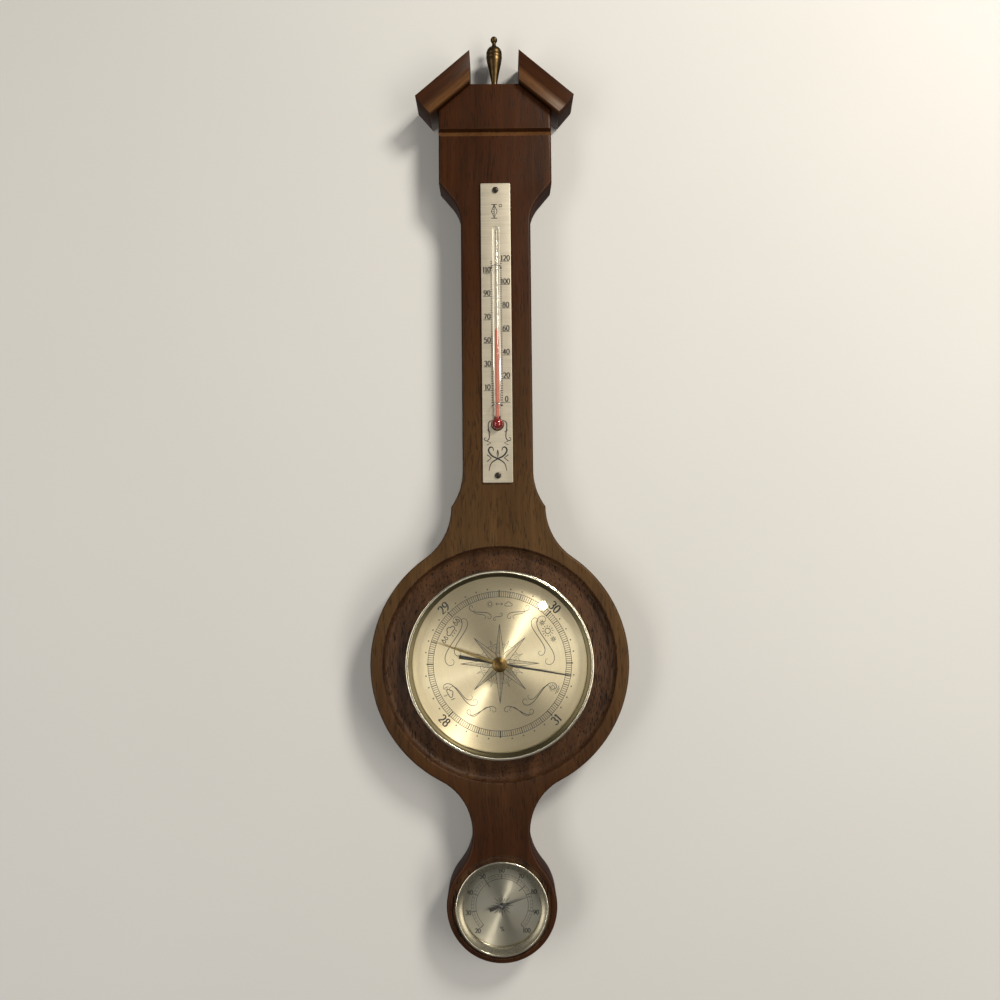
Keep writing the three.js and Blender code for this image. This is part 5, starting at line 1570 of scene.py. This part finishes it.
def ridged(points, y_back, y_front, share=0.55):
    bm = slab(points, y_back, y_front)
    everything = [*bm.verts, *bm.edges, *bm.faces]
    bmesh.ops.bisect_plane(bm, geom=everything, plane_co=(0, 0, 0), plane_no=(0, 0, 1), dist=1e-5)
    flank = [v for v in bm.verts if abs(v.co.z) > 1e-3 and abs(v.co.y - y_front) < 1e-4]
    bmesh.ops.translate(bm, vec=(0, share * (y_back - y_front), 0), verts=flank)
    return bm


def mirrored(half):
    return half + [(x, -z) for x, z in reversed(half) if z > 1e-6]


def hand(node_name, half, hub_sizes, turn, centre, steps=48):
    """A ridged blade on its hub, made along X, then turned counter-clockwise and moved."""
    low, high = box_mm(node_name)
    bore, rim, eased = hub_sizes
    hub = [(bore, high.y), (rim, high.y), (rim, low.y + 0.1), (eased, low.y), (bore, low.y)]
    bm = absorb(ridged(mirrored(half), high.y, low.y), lathe(hub, (0, 0), steps))
    spin = Matrix.Rotation(-math.radians(turn), 4, "Y")
    bmesh.ops.transform(bm, matrix=spin, verts=bm.verts)
    bmesh.ops.translate(bm, vec=(centre[0], 0, centre[1]), verts=bm.verts)
    return bm


long_blade = [(-27.7, 1.25), (-9, 0.75), (0, 0.9), (44, 0.35), (50, 0)]
pointer = hand("pressure_hand", long_blade, (1.1, 2.8, 2.6), -10, BAROMETER)
add_piece(pointer, "pressure_pointer", [hand_black], "pressure_hand", ["pressure_hand"])
set_blade = [(-9, 0.8), (0, 1.0), (12, 1.05), (48.6, 0)]
pointer = hand("set_hand", set_blade, (1.4, 2.8, 2.6), 161, BAROMETER)
add_piece(pointer, "set_pointer", [hand_brass], "set_hand", ["set_hand"])
short_blade = [(-8.6, 0.95), (-3, 0.55), (0, 0.55), (21, 0)]
pointer = hand("hygrometer_hand", short_blade, (1.1, 1.95, 1.8), 19.2, HYGROMETER, 40)
add_piece(
    pointer, "humidity_pointer", [hand_black], "hygrometer_hand", ["hygrometer_hand"]
)

# %% [markdown]
# ## Knob
# The set hand is moved by a small stepped knob in the middle of the glass. It was turned from
# bar, so it is a spun profile: a flat skirt with an eased edge, a step, and a button on top with
# a shallow dish.

# %% Turn the knob
KNOB_RISE = 4.2


def knob():
    low, high = box_mm("set_knob")
    front, stem_end = low.y, high.y
    skirt_r = radius_mm("set_knob")
    foot = front + KNOB_RISE
    profile = [
        (0, stem_end),
        (1.1, stem_end),
        (1.1, foot),
        (skirt_r - 0.3, foot),
        (skirt_r, foot - 0.3),
        (skirt_r, foot - 1.5),
        (skirt_r - 0.35, foot - 1.85),
        (0.80 * skirt_r, foot - 2.1),
        (0.72 * skirt_r, foot - 2.2),
        (0.66 * skirt_r, foot - 2.5),
        (0.66 * skirt_r, foot - 3.5),
        (0.60 * skirt_r, foot - 3.95),
        (0.50 * skirt_r, front + 0.02),
        (0.42 * skirt_r, front),
        (0.34 * skirt_r, front + 0.2),
        (0, front + 0.35),
    ]
    return lathe(profile, BAROMETER, 72)


add_piece(knob(), "stepped_knob", [knob_brass], "set_hand", ["set_knob"], smooth=40.0)

# %% [markdown]
# ## Glasses and spacer rings
# Each glass is a flat disc with ground edges. The barometer's has a hole in the middle for the
# knob's bush. A bent ring of brass holds glass and dial apart. The glass throws no shadow here,
# since a thin pane hardly dims the light that goes through it.

# %% Cut the glasses and rings
BUSH_HOLE_R = 2.4
SPACER_W = 1.0


def pane(kind, hole_r):
    low, high = box_mm(f"{kind}_glass")
    outer = radius_mm(f"{kind}_glass")
    ease = 0.2
    rim = [
        (outer - ease, high.y),
        (outer, high.y - ease),
        (outer, low.y + ease),
        (outer - ease, low.y),
    ]
    return lathe([(hole_r, high.y), *rim, (hole_r, low.y)], centre_mm(f"{kind}_glass"), 128)


def spacer(kind):
    low, high = box_mm(f"{kind}_spacer_ring")
    outer = radius_mm(f"{kind}_spacer_ring")
    inner = outer - SPACER_W
    ease = 0.12
    profile = [
        (inner, high.y - ease),
        (inner + ease, high.y),
        (outer, high.y),
        (outer, low.y),
        (inner + ease, low.y),
        (inner, low.y + ease),
    ]
    return lathe(profile, centre_mm(f"{kind}_spacer_ring"), 128)


for kind, hole_r, word in (("barometer", BUSH_HOLE_R, "large"), ("hygrometer", 0.0, "small")):
    cut = pane(kind, hole_r)
    glass = add_piece(cut, f"glass_{word}", [crystal_glass], stands_for=[f"{kind}_glass"])
    glass.visible_shadow = False
    ring = spacer(kind)
    add_piece(ring, f"spacer_{word}", [rim_brass], stands_for=[f"{kind}_spacer_ring"])

# %% [markdown]
# ## Cases
# Behind the board each instrument ends in a pressed tin case. Pressing leaves rounded corners and
# a raised bead, which are in the spun profile. Screw holes and vents are punched afterwards with
# Booleans, at the places of the screws in the frame.

# %% Press the cases
BEAD_SHARE = {"barometer": 0.62, "hygrometer": 0.42}
GRIP_RING_T = 1.5
CORNER_R = 1.2
VENT_R = 2.0


def case(kind):
    low, high = box_mm(f"{kind}_case")
    body_r = radius_mm(f"{kind}_grip_ring") - GRIP_RING_T - CLEAR
    pan_r = radius_mm(f"{kind}_dial") + CLEAR
    flange_r = radius_mm(f"{kind}_case")
    ledge = box_mm(f"{kind}_dial")[1].y + CLEAR
    bead = BEAD_SHARE[kind] * body_r
    corner = arc(body_r - CORNER_R, high.y - CORNER_R, CORNER_R, 90, 0, 15)
    profile = [
        (0, high.y),
        (bead - 1.6, high.y),
        (bead - 0.8, high.y - 0.5),
        (bead + 0.8, high.y - 0.5),
        (bead + 1.6, high.y),
        *corner,
        (body_r, ledge + SHEET),
        (pan_r + SHEET, ledge + SHEET),
        (pan_r + SHEET, low.y + SHEET),
        (flange_r, low.y + SHEET),
        (flange_r, low.y),
        (pan_r, low.y),
        (pan_r, ledge),
        (body_r - SHEET, ledge),
        (body_r - SHEET, high.y - 1.4),
        (body_r - 1.4, high.y - SHEET),
        (bead + 1.8, high.y - SHEET),
        (bead + 0.9, high.y - SHEET - 0.5),
        (bead - 0.9, high.y - SHEET - 0.5),
        (bead - 1.8, high.y - SHEET),
        (0, high.y - SHEET),
    ]
    pressed = lathe(profile, centre_mm(f"{kind}_case"), 128)
    y_back, y_front = high.y + 1, high.y - 2.5
    if kind == "barometer":
        screws = {"adjusting_screw": 1.8, **{f"movement_screw_{i}": 1.5 for i in (1, 2, 3)}}
        punches = [hole(*centre_mm(name), r, y_back, y_front) for name, r in screws.items()]
    else:
        middle_x, middle_z = HYGROMETER
        vents = [polar(0.7 * body_r, 60 * (i + 0.5)) for i in range(6)]
        punches = [hole(middle_x + x, middle_z + z, VENT_R, y_back, y_front) for x, z in vents]
    return carve(pressed, punches, [tin_plain])


for kind, word in (("barometer", "large"), ("hygrometer", "small")):
    add_piece(case(kind), f"case_{word}", [tin_plain], stands_for=[f"{kind}_case"])

# %% [markdown]
# ## Finishes for the solids that stay
# The works, the grip rings and the hanger keep their solids: their shapes are right already. Each
# gets a finish for what it is made of. The solids that were replaced get one too, since they
# still travel with the object, only unseen.

# %% Give every solid a finish
finish_of_slot = {
    "wood": wood,
    "aged_brass": finial_brass,
    "pale_brass": rim_brass,
    "plate_brass": plate_satin,
    "dial_brass": rim_brass,
    "brass": works_brass,
    "steel": steel_plain,
    "blackened": screw_black,
    "glass": crystal_glass,
    "spirit": spirit_red,
    "rubber": rubber_black,
    "tinplate": tin_plain,
}
slot_of = {piece["node"]: piece["material_slot"] for piece in frame["record"]["subparts"]}
for name, solid in frame["nodes"].items():
    solid.data.materials.clear()
    solid.data.materials.append(finish_of_slot[slot_of[name]])
print(f"{len(slot_of)} solids finished")

# %% [markdown]
# ## Stage and light
# Product pictures hang such an instrument on a plain pale wall. On a spun dial each lamp opens a
# pair of bright fans in its own direction, so the places of the lamps matter more than their
# power. Two tall soft boxes stand at the sides, and a small one high on the right makes the
# brightest fan. A weak lamp far in front makes the hot spot on the large glass. A cool lamp low
# on the left is the window that the small rim mirrors, and the last lamp lights the back.
#
# The wall shows to the camera alone and only from the front, so views of the back see the object
# and its light unchanged. The background is brighter to the camera than it is as a light.

# %% Wall


def wall_finish():
    material, tree, shader = new_finish("wall_plain", Roughness=0.8)
    place = node(tree, "ShaderNodeTexCoord").outputs["Object"]
    mottle = noise(tree, place, 3.0, 4.0)
    base = blended(tree, mottle, (0.62, 0.63, 0.64, 1), (0.68, 0.69, 0.70, 1))
    wire(tree, shader, base)
    behind = node(tree, "ShaderNodeNewGeometry").outputs["Backfacing"]
    seen = node(tree, "ShaderNodeLightPath").outputs["Is Camera Ray"]
    unseen = sums(tree, "SUBTRACT", 1.0, seen)
    hidden = sums(tree, "MAXIMUM", behind, unseen)
    clear = node(tree, "ShaderNodeBsdfTransparent")
    mixed = node(tree, "ShaderNodeMixShader", {0: hidden, 1: shader.outputs[0], 2: clear.outputs[0]})
    tree.links.new(mixed.outputs[0], tree.nodes["Material Output"].inputs["Surface"])
    return material


wall_mesh = bmesh.new()
bmesh.ops.create_grid(wall_mesh, x_segments=1, y_segments=1, size=3.0)
bmesh.ops.rotate(wall_mesh, matrix=Matrix.Rotation(math.radians(90), 3, "X"), verts=wall_mesh.verts)
bmesh.ops.translate(wall_mesh, vec=(0, 0.0006, -0.25), verts=wall_mesh.verts)
wall = stand_in(wall_mesh, "wall", [wall_finish()])
wall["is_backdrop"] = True
print("wall normal", [round(v) for v in wall.data.polygons[0].normal])

# %% Lamps


def softbox(name, place, aim, width, height, power, colour):
    data = bpy.data.lights.new(name, "AREA")
    data.shape = "ELLIPSE"
    data.size, data.size_y = width, height
    data.energy = power
    data.color = colour
    lamp = bpy.data.objects.new(name, data)
    lamp.location = place
    lamp.rotation_euler = (Vector(aim) - Vector(place)).to_track_quat("-Z", "Y").to_euler()
    bpy.context.scene.collection.objects.link(lamp)
    lamp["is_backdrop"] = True
    return lamp


WARM, COOL = (1.0, 0.92, 0.79), (0.75, 0.87, 1.0)
MIDDLE = (0, 0, -0.28)
softbox("box_left", (-1.0, -0.95, -0.35), MIDDLE, 0.5, 1.6, 6.5, WARM)
softbox("box_right", (1.0, -1.0, -0.35), MIDDLE, 0.5, 1.6, 8.5, WARM)
softbox("box_high", (0.72, -0.85, 0.68), MIDDLE, 0.35, 0.35, 14.5, WARM)
softbox("key", (0.175, -3.0, -0.5), MIDDLE, 0.032, 0.032, 2.5, WARM)
softbox("window", (-0.93, -0.72, -0.77), (0, 0, -0.52), 0.1, 0.2, 0.6, COOL)
softbox("behind", (0.0, 1.6, -0.28), MIDDLE, 0.25, 0.25, 9.0, WARM)

world = bpy.data.worlds.new("studio")
bpy.context.scene.world = world
world.use_nodes = True
sky = world.node_tree
sky.nodes["Background"].inputs["Color"].default_value = (0.88, 0.86, 0.83, 1)
seen = node(sky, "ShaderNodeLightPath").outputs["Is Camera Ray"]
strength = spread(sky, seen, 0.0, 1.0, 0.16, 0.72)
sky.links.new(strength, sky.nodes["Background"].inputs["Strength"])
bpy.context.scene.view_settings.view_transform = "Standard"

# %% [markdown]
# ## Size against the solids
# The dressing must not be larger than the solids that it stands for. How much it has grown on each
# axis over the solids is printed, in millimetres.

# %% Print the growth
new_low, new_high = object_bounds()
growth = (new_high - new_low) - (cad_high - cad_low)
print("grown by (mm)", [round(v / MM, 3) for v in growth])
